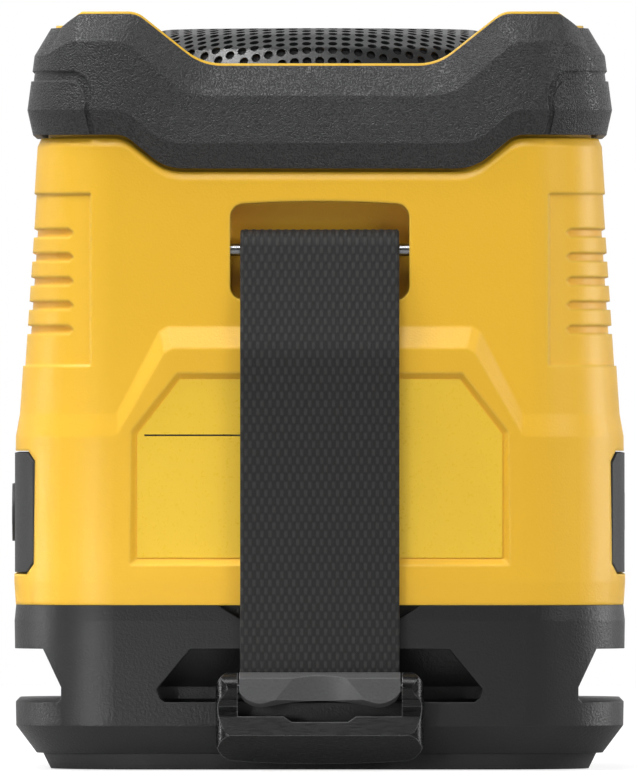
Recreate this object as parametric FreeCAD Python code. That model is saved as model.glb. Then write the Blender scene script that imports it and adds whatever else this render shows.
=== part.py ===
import FreeCAD, Part
import math
import os

os.makedirs("parts", exist_ok=True)

V = FreeCAD.Vector
X_AXIS = V(1, 0, 0)
Y_AXIS = V(0, 1, 0)
Z_AXIS = V(0, 0, 1)

# Millimetres. The origin is the centre of the face that the speaker stands on, +Z is up,
# the strap is on the -Y side and the keys are on the -X side.

# Overall sizes: half width of the body, joint between base and housing, deck under the grille.
BODY_HALF = 48.9
FOOT_TOP = 2.6
SEAM = 26.3
DECK_Z = 110.0
WALL = 2.6

# Plan of the body: a square with round corners that all share one vertical corner axis.
CORNER_R = 15.9
CORNER = BODY_HALF - CORNER_R
# Where the raised corner of the bumper starts and ends to fall, in degrees round the corner.
CORNER_FALL = (32.7, 57.1)

# Yellow housing, half widths and heights.
BODY_FOOT_HALF = BODY_HALF - 0.25
BODY_FULL_LOW = SEAM + 3.7
LEDGE_HALF = BODY_HALF - 0.25
LEDGE_Z_SIDE = SEAM + 26.9
LEDGE_Z_MIDDLE = LEDGE_Z_SIDE + 14.0
LEDGE_KNEES = (CORNER - 8.6, CORNER - 0.6)
LEDGE_BAND = 3.6
LEDGE_BEND = 1.5
UPPER_HALF = BODY_HALF - 0.9
UPPER_Z = LEDGE_Z_SIDE + LEDGE_BAND
UPPER_LEAN = 2.599
UPPER_BAND_KNEES = (CORNER - 7.8, CORNER - 0.5)

# Crown: the bumper's rim and facet lines as middle height, corner height and side height.
RIM_HALF = BODY_HALF - 5.9
RIM_Z = (DECK_Z + 2.4, DECK_Z + 10.7, DECK_Z + 8.5)
RIM_KNEES = (CORNER - 14.2, CORNER - 3.8)
FACET_HALF = BODY_HALF - 3.25
FACET_Z = (DECK_Z - 2.4, DECK_Z + 6.3, DECK_Z + 4.1)
FACET_KNEES = (CORNER - 12.0, CORNER - 1.8)
SKIRT_HALF = BODY_HALF - 2.1
SKIRT_Z = (DECK_Z - 10.0, DECK_Z - 4.6, DECK_Z - 4.6)
SKIRT_KNEES = (CORNER - 8.2, CORNER - 1.8)
HEM_HALF = BODY_HALF - 3.0
HEM_Z = (DECK_Z - 14.0, DECK_Z - 8.6, DECK_Z - 8.6)
HEM_KNEES = (CORNER - 8.4, CORNER - 1.8)
PLAIN_KNEES = (CORNER - 11.0, CORNER - 2.0)
BEND_LOW = 9.0
BEND_HIGH = 4.0
MOULD_GAP = 0.08

# Neck inside the bumper and the deck that carries the driver and the grille.
NECK_HALF_LOW = BODY_HALF - 5.45
NECK_HALF_HIGH = BODY_HALF - 6.7
NECK_RIM_WIDTH = 1.0
NECK_RISE = 0.4
SHADOW_GAP = 0.55
SHOULDER_DROP = 1.3
SHOULDER_STEP = 0.5
DECK_HALF = BODY_HALF - 8.3
DECK_THICK = 4.0

# Groove round the corner blocks of the bumper, outwards from the corner axis and up from the deck.
BLOCK_GROOVE_UPPER = ((6.2, 1.6), (4.4, 0.6), (3.5, -1.2), (3.4, -3.0), (3.7, -5.0), (2.5, -9.5))
BLOCK_GROOVE_LOWER = ((3.6, -9.5), (4.6, -5.2), (4.4, -3.4), (4.8, -1.6), (6.0, 0.0))
BLOCK_GROOVE_DEPTH = 0.4

# Round grille: dome profile of its outer face.
GRILLE_THICK = 0.8
GRILLE_TOP_Z = DECK_Z + 8.66
GRILLE_BROW_Z = DECK_Z + 7.6
GRILLE_SHOULDER_Z = DECK_Z + 5.4
GRILLE_FLANGE_R = DECK_HALF - 0.9
GRILLE_SKIRT_R = GRILLE_FLANGE_R - 1.9
GRILLE_SHOULDER_R = GRILLE_SKIRT_R - 3.2
GRILLE_BROW_R = GRILLE_SHOULDER_R - 5.0
GRILLE_FLAT_R = GRILLE_SHOULDER_R - 9.8

# Black base, half widths and heights.
BASE_FOOT_HALF = BODY_HALF - 3.6
BASE_LOW_HALF = BODY_HALF - 0.3
BASE_HIGH_HALF = BODY_HALF - 0.05
BASE_TOP_HALF = BODY_HALF - 0.3
BASE_CHAMFER_Z = FOOT_TOP + 4.4
BASE_BAND_Z = SEAM - 2.5
BASE_FLOOR_Z = FOOT_TOP + 2.4
BASE_CAVITY_HALF = BODY_HALF - 10.3
BASE_RIM_CAVITY_HALF = BODY_HALF - 5.3
BASE_RIM_CAVITY_Z = SEAM - 4.4
LIP_HEIGHT = 2.6
LIP_WALL = 1.6
LIP_CLEARANCE = 0.15
SEAL_THICK = 1.2

# Grooves under the base's wall, and the closed pocket of the same section front and rear.
CHANNEL_TOP = SEAM - 7.0
CHANNEL_TOP_HALF = BODY_HALF - 4.7
CHANNEL_DEEP_HALF = BODY_HALF - 7.6
CHANNEL_LOW = BASE_CHAMFER_Z + 3.8
CHANNEL_DEEP_Z = CHANNEL_LOW + 2.4
CHANNEL_BEVEL = 0.5
POCKET_WIDE_HALF = CORNER - 7.0
POCKET_TOP_HALF = POCKET_WIDE_HALF - 5.3
POCKET_WIDE_Z = CHANNEL_LOW + 2.1
POCKET_BOTTOM = CHANNEL_LOW - 0.2
POCKET_BEVELS = ((0.5, 0.8), (1.6, 0.0))

# Foot pad.
FOOT_CORNER = CORNER - 6.0
FOOT_HALF_LOW = BODY_HALF - 5.8
FOOT_HALF_HIGH = BODY_HALF - 4.5

# Strap and the recess and pin that hold it.
STRAP_WIDTH = 25.4
STRAP_THICK = 2.0
STRAP_EYE_GAP = 0.35
STRAP_LIE_GAP = 0.35
STRAP_SLOT_GAP = 0.1
STRAP_END_Z = 12.9
PIN_Y = 4.9 - BODY_HALF
PIN_Z = DECK_Z - 27.0
# The run meets the drop above the ledge and steeply enough to clear the recess.
STRAP_KNEE_Z = max(LEDGE_Z_MIDDLE - 0.6, PIN_Z - 16.4)
PIN_R = 1.0
PIN_SEAT = 2.4
PIN_FIT = 0.05
PIN_END_GAP = 0.1
STRAP_TAIL_Z = PIN_Z - 6.4
RECESS_HALF = STRAP_WIDTH / 2 + 1.6
RECESS_LOW = PIN_Z - 8.0
RECESS_TOP = PIN_Z + 7.4
RECESS_ARCH = 0.4
RECESS_CORNER_R = 2.2
RECESS_CLEARANCE = 0.5
NOTCH_TOP_HALF = STRAP_WIDTH / 2 + 3.6
NOTCH_LOW_HALF = NOTCH_TOP_HALF - 6.7
NOTCH_DEPTH_Z = 4.2
NOTCH_FLOOR_HALF = BODY_HALF - 2.7

# Latch pin.
LATCH_PIN_R = 1.0
LATCH_PIN_Y = -(BODY_HALF + STRAP_LIE_GAP + STRAP_THICK + 0.15 + LATCH_PIN_R)
LATCH_PIN_Z = 13.1
LATCH_PRESS = 0.02

# Strap end fitting: outlines of its front face and of its under edge, as side, lobe and arch.
TONGUE_HALF = STRAP_WIDTH / 2 + 0.15
TONGUE_TOP = LATCH_PIN_Z + 2.5
TONGUE_TOP_Y = LATCH_PIN_Y - 0.7
TONGUE_BROW = (LATCH_PIN_Y - 1.0 - LATCH_PIN_R, TONGUE_TOP - 0.9)
TONGUE_LIP_Y = LATCH_PIN_Y - 2.8
TONGUE_LIP_Z = LATCH_PIN_Z - 1.9
TONGUE_LIP_DEPTH = 1.3
TONGUE_LOBE_X = TONGUE_HALF - 4.4
TONGUE_LOW = LATCH_PIN_Z - 3.5
TONGUE_HEEL = (LATCH_PIN_Y + 1.0, LATCH_PIN_Z - 2.2)
TONGUE_FACE_EDGE = (LATCH_PIN_Z - 0.3, LATCH_PIN_Z - 2.25, LATCH_PIN_Z - 0.85)
TONGUE_UNDER_EDGE = (LATCH_PIN_Z - 0.8, LATCH_PIN_Z - 2.95, LATCH_PIN_Z - 2.0)
TONGUE_CORNER = (1.67, 0.856)
SCOOP_SHARES = (-0.4, 1.5)
SCOOP_HALF = (7.2, 4.2)
SCOOP_DEPTH = (1.3, 0.6)

# Latch frame.
FRAME_EAR_INNER = TONGUE_HALF + 0.25
FRAME_HALF = FRAME_EAR_INNER + 3.5
FRAME_INNER_Y = LATCH_PIN_Y + 3.2
KNUCKLE_R = LATCH_PIN_R + 1.5
FRAME_BAR_TOP = LATCH_PIN_Z - 4.5
FRAME_NOTCH_TOP = FRAME_BAR_TOP - 0.9
FRAME_NOTCH_HALF = (5.8, 4.5)
FRAME_FRONT = ((LATCH_PIN_Y - 1.2, LATCH_PIN_Z - 2.9), (LATCH_PIN_Y - 1.5, LATCH_PIN_Z - 4.5),
               (LATCH_PIN_Y - 2.6, LATCH_PIN_Z - 7.5), (LATCH_PIN_Y + 0.7, LATCH_PIN_Z - 12.1),
               (LATCH_PIN_Y + 2.2, LATCH_PIN_Z - 11.8))
FRAME_INNER_LOW = LATCH_PIN_Z - 10.5
FRAME_LOW = LATCH_PIN_Z - 11.6
FRAME_TOP = LATCH_PIN_Z + KNUCKLE_R + 0.3
FRAME_BOW = 0.5
FRAME_CORNER_R = 3.2
FRAME_TOP_R = 3.1
FRAME_FACE_R = 2.6
FRAME_EAR_SKIN = 0.75
HOOK_HALF = FRAME_EAR_INNER + 0.3
HOOK_TIP_Y = 3.6 - BODY_HALF
HOOK_TOP_Z = FOOT_TOP + 1.4
HOOK_PROFILE = ((LATCH_PIN_Y + 1.8, FOOT_TOP - 0.8), (HOOK_TIP_Y, FOOT_TOP - 0.4), (HOOK_TIP_Y, HOOK_TOP_Z),
                (1.9 - BODY_HALF, HOOK_TOP_Z), (LATCH_PIN_Y + 3.4, HOOK_TOP_Z + 2.9),
                (LATCH_PIN_Y + 1.8, HOOK_TOP_Z + 2.9))
HOOK_CLEARANCE = 0.3

# Label recess.
LABEL_HALF = CORNER - 3.7
LABEL_LOW = SEAM + 7.4
LABEL_TOP = LEDGE_Z_MIDDLE - 4.7
LABEL_CUT_X = LABEL_HALF - 6.9
LABEL_CUT_Z = LABEL_TOP - 8.9
LABEL_BORDER = 1.2
LABEL_DEPTH = 1.0
LABEL_THICK = 0.2
LABEL_MARGIN = 0.15

# Side panels with grip grooves.
PANEL_X = CORNER + 3.6
PANEL_LOW = DECK_Z - 45.5
PANEL_HIGH = DECK_Z - 18.0
PANEL_DEPTH = 0.35
GROOVE_X = CORNER + 6.3
GROOVE_TOP_Z = DECK_Z - 24.3
GROOVE_PITCH = 3.86
GROOVE_COUNT = 5
GROOVE_HEIGHT = 1.35
GROOVE_DEPTH = 0.6

# Side pads.
PAD_LOW = SEAM + 5.2
PAD_HIGH = PAD_LOW + 19.1
PAD_Z = 0.5 * (PAD_LOW + PAD_HIGH)
PAD_END_LEFT = CORNER + 9.2
PAD_END_RIGHT = CORNER + 7.7
PAD_BEVEL = 1.6
PAD_FACE_HALF = BODY_HALF - 0.1
PAD_BACK_HALF = PAD_FACE_HALF - 2.3
PAD_SEAT_GAP = 0.08
PAD_WALL = 2.4
PAD_EDGE_GAP = 0.3

# Keys in the left pad.
KEY_NAMES = ("power_key", "pairing_key", "volume_down_key", "play_key", "volume_up_key")
KEY_PITCH = 14.0
KEY_R = 4.6
KEY_GAP = 0.3
KEY_THICK = 1.7
KEY_TRAVEL = 0.6
KEY_STEM_HALF = 1.8
KEY_STEM_END = 4.95 - BODY_HALF
KEY_RISE = 0.45
LIGHT_R = 0.9
LIGHT_GAP = 0.1
LIGHT_RISE = 0.1
LIGHT_END_GAP = 0.4
LIGHT_Y = -1.5 * KEY_PITCH
LIGHT_Z = PAD_HIGH - 4.4

# Buttons' board and switches.
SWITCH_FREE_GAP = KEY_TRAVEL + 0.05
SWITCH_PLUNGER_HALF = 1.5
SWITCH_PLUNGER_H = 0.6
SWITCH_BODY = 6.0
SWITCH_BODY_H = 1.8
BOARD_THICK = 1.6
BUTTON_BOARD_HALF_Y = 2 * KEY_PITCH + 5.0
BUTTON_BOARD_LOW = PAD_LOW + 2.5
BUTTON_BOARD_HIGH = PAD_HIGH - 1.6
RAIL_HOLD = 1.4
RAIL_CHEEK = 1.2
BOARD_FIT = 0.05

# Port cover, socket and charge board on the +X side.
COVER_HALF_Y = 12.0
COVER_LOW = PAD_LOW + 3.1
COVER_HIGH = PAD_HIGH - 3.2
COVER_THICK = 1.8
COVER_GAP = 0.35
COVER_PLUG_HALF_Y = 5.2
COVER_PLUG_HALF_Z = 2.4
COVER_PLUG_DEPTH = 1.3
COVER_LIP_RISE = 0.5
COVER_LIP_HALF_Z = 3.0
COVER_LIP_Y = (COVER_HALF_Y - 2.2, COVER_HALF_Y - 1.0)
PORT_HALF_Y = 6.4
PORT_HALF_Z = 3.4
SOCKET_HALF_Y = 4.47
SOCKET_HALF_Z = 1.63
SOCKET_WALL = 0.3
SOCKET_BACK_WALL = 1.0
SOCKET_FACE_X = BODY_HALF - 3.7
SOCKET_LENGTH = 7.3
SOCKET_TONGUE_HALF_Y = 3.34
SOCKET_TONGUE_HALF_Z = 0.35
SOCKET_TONGUE_INSET = 0.8
CHARGE_BOARD_X = (BODY_HALF - 18.9, BODY_HALF - 5.9)
CHARGE_BOARD_HALF_Y = 11.0
CHARGE_POST_HEIGHT = 3.0

# Driver: bore in the deck and pressed basket.
DRIVER_BORE_R = 31.2
FLANGE_R = 35.6
FLANGE_INNER_R = DRIVER_BORE_R - 0.8
FLANGE_THICK = 1.4
DRIVER_SCREW_PCR = 0.5 * (DRIVER_BORE_R + FLANGE_R) - 0.2
DRIVER_SCREW_COUNT = 4
DRIVER_SCREW_LENGTH = 5.5
PLATE_R = 19.5
SPIDER_LEDGE_Z = DECK_Z - 12.8
SPIDER_LEDGE_R = (PLATE_R + 0.1, PLATE_R + 2.1)
BASKET_SHEET = 1.2
BASKET_WINDOW = 10.5
BASKET_WINDOW_LOW = SPIDER_LEDGE_Z + 1.5
BASKET_WINDOW_HIGH = DECK_Z - 2.0

# Driver: magnet system.
POLE_R = 9.5
FORMER_R = (POLE_R + 0.35, POLE_R + 0.55)
COIL_R = (FORMER_R[1] + 0.02, FORMER_R[1] + 0.35)
PLATE_HOLE_R = COIL_R[1] + 0.3
PLATE_TOP = DECK_Z - 18.5
PLATE_THICK = 3.5
MAGNET_R = PLATE_R + 1.5
MAGNET_HOLE_R = POLE_R + 3.0
MAGNET_THICK = 8.0
YOKE_THICK = 3.0
COIL_LOW = PLATE_TOP - 5.3
COIL_HEIGHT = 7.0
FORMER_LOW = COIL_LOW - 1.2
FORMER_TOP = DECK_Z - 6.0

# Driver: cone, dust cap, surround and spider.
CONE_NECK_R = FORMER_R[1] + 0.05
CONE_NECK_Z = DECK_Z - 7.5
CONE_EDGE_R = 24.4
CONE_EDGE_Z = DECK_Z + 1.6
CONE_THICK = 0.5
SURROUND_R = (CONE_EDGE_R + 0.05, FLANGE_INNER_R + 0.6)
SURROUND_THICK = 0.5
SURROUND_LIP = 1.4
DUST_CAP_R = CONE_NECK_R + 1.5
DUST_CAP_RISE = 3.2
SPIDER_THICK = 0.35
SPIDER_WAVE = 0.7
SPIDER_RUNS = 2
SPIDER_EDGE_GAP = 0.3

# Battery cells and their cradle.
CELL_R = 9.2
CELL_LENGTH = 65.0
CELL_GAP = 0.6
CELL_TIP_R = 2.8
CELL_TIP = 0.9
CELL_FLOAT = 0.4
CELL_FIT = 0.1
CRADLE_SEAT_GAP = 0.1
CRADLE_FLOOR = 1.6
CRADLE_WALL = 1.6
CRADLE_WALL_H = 8.0
CRADLE_HALF_X = CELL_LENGTH / 2 + 1.9 + CRADLE_WALL
CRADLE_HALF_Y = 2 * CELL_R + CELL_GAP / 2 + 1.1 + CRADLE_WALL
CRADLE_SEATS = (-18.0, 18.0)
CRADLE_SEAT_HALF = 1.0
CRADLE_SEAT_H = 6.0
CRADLE_PILLAR_TOP = BASE_FLOOR_Z + CRADLE_FLOOR + 2 * CELL_R + 4.0
CRADLE_PILLAR_R = 2.6
PILLAR_X = CRADLE_HALF_X - 4.5
PILLAR_Y = CRADLE_HALF_Y + 0.6

# Main board: chips as x, y, half sizes and height, and the X of the upright capacitors.
MAIN_BOARD_HALF_X = PILLAR_X + 3.5
MAIN_BOARD_HALF_Y = PILLAR_Y + 2.0
BOARD_CHIPS = ((0, 0, 4.5, 4.5, 1.2), (-16, 6, 3, 4, 1.6), (15, 8, 5, 5, 3.2),
               (16, -10, 4, 2.5, 5.0), (-17, -10, 4, 2.5, 5.0))
CAPACITOR_X = (-8.0, 0.0, 8.0)
CAPACITOR_Y = 17.0
CAPACITOR_R = 3.0
CAPACITOR_H = 7.0
BOARD_SCREW_R = 1.1
BOARD_SCREW_FIT = 0.1
BOARD_SCREW_HEAD_R = 2.1
BOARD_SCREW_HEAD_H = 1.3
BOARD_SCREW_LENGTH = 6.0

# Case screws, their posts in the base and their bosses in the housing.
SCREW_X = CORNER - 3.0
SCREW_Y = PILLAR_Y + 8.0
POST_R = 4.2
POST_GAP = 0.2
POST_CLEARANCE = 0.4
BOSS_R = 3.6
BOSS_TOP = SEAM + 17.7
SCREW_R = 1.5
SCREW_HEAD_R = 2.8
SCREW_HEAD_H = 2.2
SCREW_HEAD_Z = BASE_FLOOR_Z + 2.0
SCREW_TIP_Z = BOSS_TOP - 6.0
SCREW_FIT = 0.15
RIB_THICK = 1.8
WALL_SINK = 0.5


def save(name, shape):
    """Write one sub-part and print what it holds."""
    shape = shape.removeSplitter()
    shape.exportStep("parts/%s.step" % name)
    print("%-20s solids %2d volume %10.1f valid %s"
          % (name, len(shape.Solids), shape.Volume, shape.isValid()))
    return shape


def group(shapes):
    """Separate solids that share one node."""
    return Part.makeCompound([solid for shape in shapes for solid in shape.Solids])


def box(x_range, y_range, z_range):
    """A box between two heights, two widths and two depths."""
    size = [high - low for low, high in (x_range, y_range, z_range)]
    return Part.makeBox(*size, V(x_range[0], y_range[0], z_range[0]))


def rod(radius, start, direction, length):
    """A round bar from a point along a direction."""
    return Part.makeCylinder(radius, length, start, direction)


def hexagon(radius, x, y, low, high):
    """A six-sided upright bar, for plain screws, their holes, bosses and posts."""
    corners = [V(x + radius * math.cos(math.radians(60 * n)),
                 y + radius * math.sin(math.radians(60 * n)), low) for n in range(6)]
    return prism(corners, V(0, 0, high - low))


def tube(outer, inner, start, direction, length):
    """A round bar with a bore."""
    return rod(outer, start, direction, length).cut(rod(inner, start, direction, length))


def outline(points):
    """A closed wire: pairs are corners, a triple (mid, end) entry is an arc through mid."""
    edges = []
    here = points[0]
    for entry in points[1:] + [points[0]]:
        if isinstance(entry, tuple):
            middle, end = entry
            edges.append(Part.Arc(here, middle, end).toShape())
            here = end
        else:
            edges.append(Part.LineSegment(here, entry).toShape())
            here = entry
    return Part.Wire(edges)


def prism(points, direction):
    """A flat outline pushed along a direction."""
    return Part.Face(outline(points)).extrude(direction)


def side_prism(pairs, x_range):
    """An outline in the YZ plane, pushed from one X to another."""
    return prism([V(x_range[0], y, z) for y, z in pairs], V(x_range[1] - x_range[0], 0, 0))


def rear_prism(pairs, y_range):
    """An outline in the XZ plane, pushed from one Y to another."""
    return prism([V(x, y_range[0], z) for x, z in pairs], V(0, y_range[1] - y_range[0], 0))


def revolve(pairs):
    """A closed outline of (radius, height) corners turned about the vertical axis."""
    return Part.Face(outline([V(r, 0, z) for r, z in pairs])).revolve(V(0, 0, 0), Z_AXIS, 360)


def mirror_x(shape):
    return shape.mirror(V(0, 0, 0), X_AXIS)


def mirror_y(shape):
    return shape.mirror(V(0, 0, 0), Y_AXIS)


def square_wire(half, z, corner=CORNER, faceted=False):
    """The plan at one height: four straight sides and four round or two-sided corners."""
    radius = half - corner
    edges = []
    for quarter in range(4):
        turn = FreeCAD.Rotation(Z_AXIS, 90 * quarter)
        diagonal = corner + radius / math.sqrt(2)
        points = [V(-corner, -half, z), V(corner, -half, z), V(diagonal, -diagonal, z),
                  V(half, -corner, z)]
        p0, p1, middle, p2 = [turn.multVec(p) for p in points]
        edges.append(Part.LineSegment(p0, p1).toShape())
        if faceted:
            edges.append(Part.LineSegment(p1, middle).toShape())
            edges.append(Part.LineSegment(middle, p2).toShape())
        else:
            edges.append(Part.Arc(p1, middle, p2).toShape())
    return Part.Wire(edges)


def square_stack(sections, corner=CORNER, faceted=False):
    """Straight-sided loft through plans given as (half width, height)."""
    wires = [square_wire(half, z, corner, faceted) for half, z in sections]
    return Part.makeLoft(wires, True, True)


def inner_stack(sections):
    """A stack for hidden hollows and the lip, with two-sided corners."""
    return square_stack(sections, CORNER, True)


class CrownLine:
    """One line round the body that dips in the middle of the front and rear.

    heights are the middle, corner and side heights, knees the two X positions between which
    the line climbs, and half the half width, as a number or as a function of the height.
    A sharp line has a short flat at each knee in place of a round bend.
    """

    def __init__(self, half, heights, knees=PLAIN_KNEES, sharp=False):
        self.half = half if callable(half) else (lambda z: half)
        self.heights = heights
        self.knees = knees
        self.sharp = sharp
        self.bends = (LEDGE_BEND, LEDGE_BEND) if sharp else (BEND_LOW, BEND_HIGH)

    def face_point(self, x, z, sx, sy):
        return V(sx * x, sy * self.half(z), z)

    def corner_point(self, degrees, z, sx, sy):
        radius = self.half(z) - CORNER
        a = math.radians(degrees)
        return V(sx * (CORNER + radius * math.sin(a)), sy * (CORNER + radius * math.cos(a)), z)

    def bend(self, knee_x, knee_z, radius, angle, first):
        """Start, middle and end of the arc that rounds one knee."""
        reach = radius * math.tan(abs(angle) / 2)
        limit = 0.42 * (self.knees[1] - self.knees[0])
        room = limit if first else min(limit, CORNER - 0.2 - self.knees[1])
        reach = min(reach, room)
        flat = (knee_x - reach, knee_z) if first else (knee_x + reach, knee_z)
        side = 1 if first else -1
        sloped = (knee_x + side * reach * math.cos(angle), knee_z + side * reach * math.sin(angle))
        radius = reach / math.tan(abs(angle) / 2)
        up = math.copysign(1, angle) * side
        centre = (flat[0], knee_z + up * radius)
        to_knee = (knee_x - centre[0], knee_z - centre[1])
        size = math.hypot(*to_knee)
        middle = (centre[0] + radius * to_knee[0] / size, centre[1] + radius * to_knee[1] / size)
        return (flat, middle, sloped) if first else (sloped, middle, flat)

    def quadrant(self, sx, sy):
        """Point lists from the middle of the front or rear face to the side."""
        low, high, side = self.heights
        x0, x1 = self.knees
        if abs(high - low) < 1e-6:
            marks = [x0 - 2, x0 + 2, x1 - 1, x1 + 1]
            stops = [self.face_point(x, low, sx, sy) for x in marks]
            lists = [stops[0:2], stops[1:3], stops[2:4]]
        else:
            angle = math.atan2(high - low, x1 - x0)
            first = self.bend(x0, low, self.bends[0], angle, True)
            second = self.bend(x1, high, self.bends[1], angle, False)
            if self.sharp:
                first, second = first[::2], second[::2]
            first = [self.face_point(x, z, sx, sy) for x, z in first]
            second = [self.face_point(x, z, sx, sy) for x, z in second]
            lists = [first, [first[-1], second[0]], second]
        lists.append([lists[-1][-1], self.corner_point(0, high, sx, sy)])
        a0, a1 = CORNER_FALL
        spans = ((0, a0, high, high), (a0, a1, high, side), (a1, 90, side, side))
        for start, end, z0, z1 in spans:
            middle = 0.5 * (start + end)
            lists.append([self.corner_point(start, z0, sx, sy),
                          self.corner_point(middle, 0.5 * (z0 + z1), sx, sy),
                          self.corner_point(end, z1, sx, sy)])
        return lists

    def edges(self):
        """All edges in order: rear middle, round by +X, front, and back by -X."""
        lists = []
        rear_right = self.quadrant(1, -1)
        front_right = [points[::-1] for points in self.quadrant(1, 1)[::-1]]
        front_left = self.quadrant(-1, 1)
        rear_left = [points[::-1] for points in self.quadrant(-1, -1)[::-1]]
        parts = [rear_right, front_right, front_left, rear_left]
        for number, part in enumerate(parts):
            lists.extend(part)
            following = parts[(number + 1) % 4]
            lists.append([part[-1][-1], following[0][0]])
        return [make_edge(points) for points in lists]


def make_edge(points):
    """A straight edge through two points or an arc through three."""
    if len(points) == 2:
        return Part.LineSegment(points[0], points[1]).toShape()
    return Part.Arc(points[0], points[1], points[2]).toShape()


def crown_solid(lines, closed):
    """Ruled faces between neighbouring lines; closed rings join last to first."""
    rows = [line.edges() for line in lines]
    pairs = list(zip(rows, rows[1:]))
    if closed:
        pairs.append((rows[-1], rows[0]))
    faces = []
    for below, above in pairs:
        faces += [Part.makeRuledSurface(a, b) for a, b in zip(below, above)]
    if not closed:
        faces += [Part.Face(Part.Wire(rows[0])), Part.Face(Part.Wire(rows[-1]))]
    shell = Part.makeShell(faces)
    shell.sewShape()
    solid = Part.makeSolid(Part.Shell(shell.Faces))
    if solid.Volume < 0:
        solid.reverse()
    return solid


def flat_line(half, z):
    return CrownLine(half, (z, z, z))


def upper_half(z):
    """Half width of the tapered upper housing."""
    return UPPER_HALF - UPPER_LEAN * (z - UPPER_Z) / (HEM_Z[0] - UPPER_Z)


def shifted(heights, amount):
    return tuple(z + amount for z in heights)


def housing_envelope():
    """The yellow moulding's outer form with the open well above its deck."""
    shoulder = shifted(HEM_Z, -SHADOW_GAP)
    rim = shifted(RIM_Z, NECK_RISE)
    ledge = (LEDGE_Z_MIDDLE, LEDGE_Z_SIDE, LEDGE_Z_SIDE)
    lines = [
        flat_line(BODY_FOOT_HALF, SEAM),
        flat_line(BODY_HALF, BODY_FULL_LOW),
        CrownLine(LEDGE_HALF, ledge, LEDGE_KNEES, True),
        CrownLine(upper_half, shifted(ledge, LEDGE_BAND), UPPER_BAND_KNEES, True),
        CrownLine(upper_half, shifted(shoulder, -SHOULDER_DROP), HEM_KNEES),
        CrownLine(lambda z: upper_half(z) - SHOULDER_STEP, shoulder, HEM_KNEES),
        CrownLine(NECK_HALF_LOW, shoulder, HEM_KNEES),
        CrownLine(NECK_HALF_HIGH, rim, RIM_KNEES),
        CrownLine(NECK_HALF_HIGH - NECK_RIM_WIDTH, rim, RIM_KNEES),
        flat_line(DECK_HALF, DECK_Z),
    ]
    return crown_solid(lines, False)


def top_bumper():
    """Rubber ring: thin rim, sloping facet, wall, hem and the inner face on the neck."""
    lines = [
        CrownLine(RIM_HALF, RIM_Z, RIM_KNEES),
        CrownLine(FACET_HALF, FACET_Z, FACET_KNEES),
        CrownLine(SKIRT_HALF, SKIRT_Z, SKIRT_KNEES),
        CrownLine(HEM_HALF, HEM_Z, HEM_KNEES),
        CrownLine(NECK_HALF_LOW + MOULD_GAP, HEM_Z, HEM_KNEES),
        CrownLine(NECK_HALF_HIGH + MOULD_GAP, RIM_Z, RIM_KNEES),
    ]
    return crown_solid(lines, True)


def inner_half():
    """Inner half width of the housing beside the pads."""
    return PAD_BACK_HALF - PAD_SEAT_GAP - PAD_WALL


def seal_top():
    return SEAM + LIP_HEIGHT + SEAL_THICK


def housing_cavity():
    """The hollow inside the yellow moulding, open below, with a step above the seal."""
    neck = HEM_Z[0] - SHADOW_GAP
    mouth = BODY_FOOT_HALF - WALL
    upper = inner_stack([
        (inner_half(), seal_top() - 1),
        (inner_half(), LEDGE_Z_SIDE),
        (upper_half(neck) - SHOULDER_STEP - WALL, neck - WALL - 1),
        (NECK_HALF_LOW - WALL, DECK_Z - DECK_THICK),
    ])
    return upper.fuse(inner_stack([(mouth, SEAM - 1), (mouth, seal_top())]))


def label_outline(grow, y):
    """Six-sided label outline with its two upper corners cut, as a wire at one depth."""
    half, low, top = LABEL_HALF + grow, LABEL_LOW - grow, LABEL_TOP + grow
    cut_x, cut_z = LABEL_CUT_X + 0.5 * grow, LABEL_CUT_Z + 0.5 * grow
    pairs = [(-half, low), (half, low), (half, cut_z), (cut_x, top), (-cut_x, top), (-half, cut_z)]
    return outline([V(x, y, z) for x, z in pairs])


def label_recess():
    """Shallow recess with a sloping border."""
    outside = -BODY_HALF - LABEL_BORDER
    floor = -BODY_HALF + LABEL_DEPTH
    return Part.makeLoft([label_outline(2 * LABEL_BORDER, outside), label_outline(0, floor)],
                         True, True)


def rating_label():
    """Bare label on the recess floor."""
    floor = -BODY_HALF + LABEL_DEPTH
    sheet = Part.Face(label_outline(-LABEL_MARGIN, floor - LABEL_THICK))
    return sheet.extrude(V(0, LABEL_THICK, 0))


def arched_outline(half, low, top, arch, radius):
    """Rectangle with round corners and a slightly arched top, as (x, z) outline entries."""
    bulge = radius / math.sqrt(2)

    def corner(x, z, sx, sz, turn_first):
        centre = (x - sx * radius, z - sz * radius)
        middle = V(centre[0] + sx * bulge, 0, centre[1] + sz * bulge)
        along = V(x, 0, centre[1])
        across = V(centre[0], 0, z)
        return (middle, across if turn_first else along)

    points = [V(-half + radius, 0, low), V(half - radius, 0, low)]
    points.append(corner(half, low, 1, -1, False))
    points.append(V(half, 0, top - radius))
    points.append(corner(half, top, 1, 1, True))
    points.append((V(0, 0, top + arch), V(-half + radius, 0, top)))
    points.append(corner(-half, top, -1, 1, False))
    points.append(V(-half, 0, low + radius))
    points.append(corner(-half, low, -1, -1, True))
    return points


def closed_face(points):
    """Face from outline entries whose last entry already returns to the first point."""
    edges = []
    here = points[0]
    for entry in points[1:]:
        if isinstance(entry, tuple):
            edges.append(Part.Arc(here, entry[0], entry[1]).toShape())
            here = entry[1]
        elif (entry - here).Length > 1e-6:
            edges.append(Part.LineSegment(here, entry).toShape())
            here = entry
    if (points[0] - here).Length > 1e-6:
        edges.append(Part.LineSegment(here, points[0]).toShape())
    return Part.Face(Part.Wire(edges))


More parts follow.
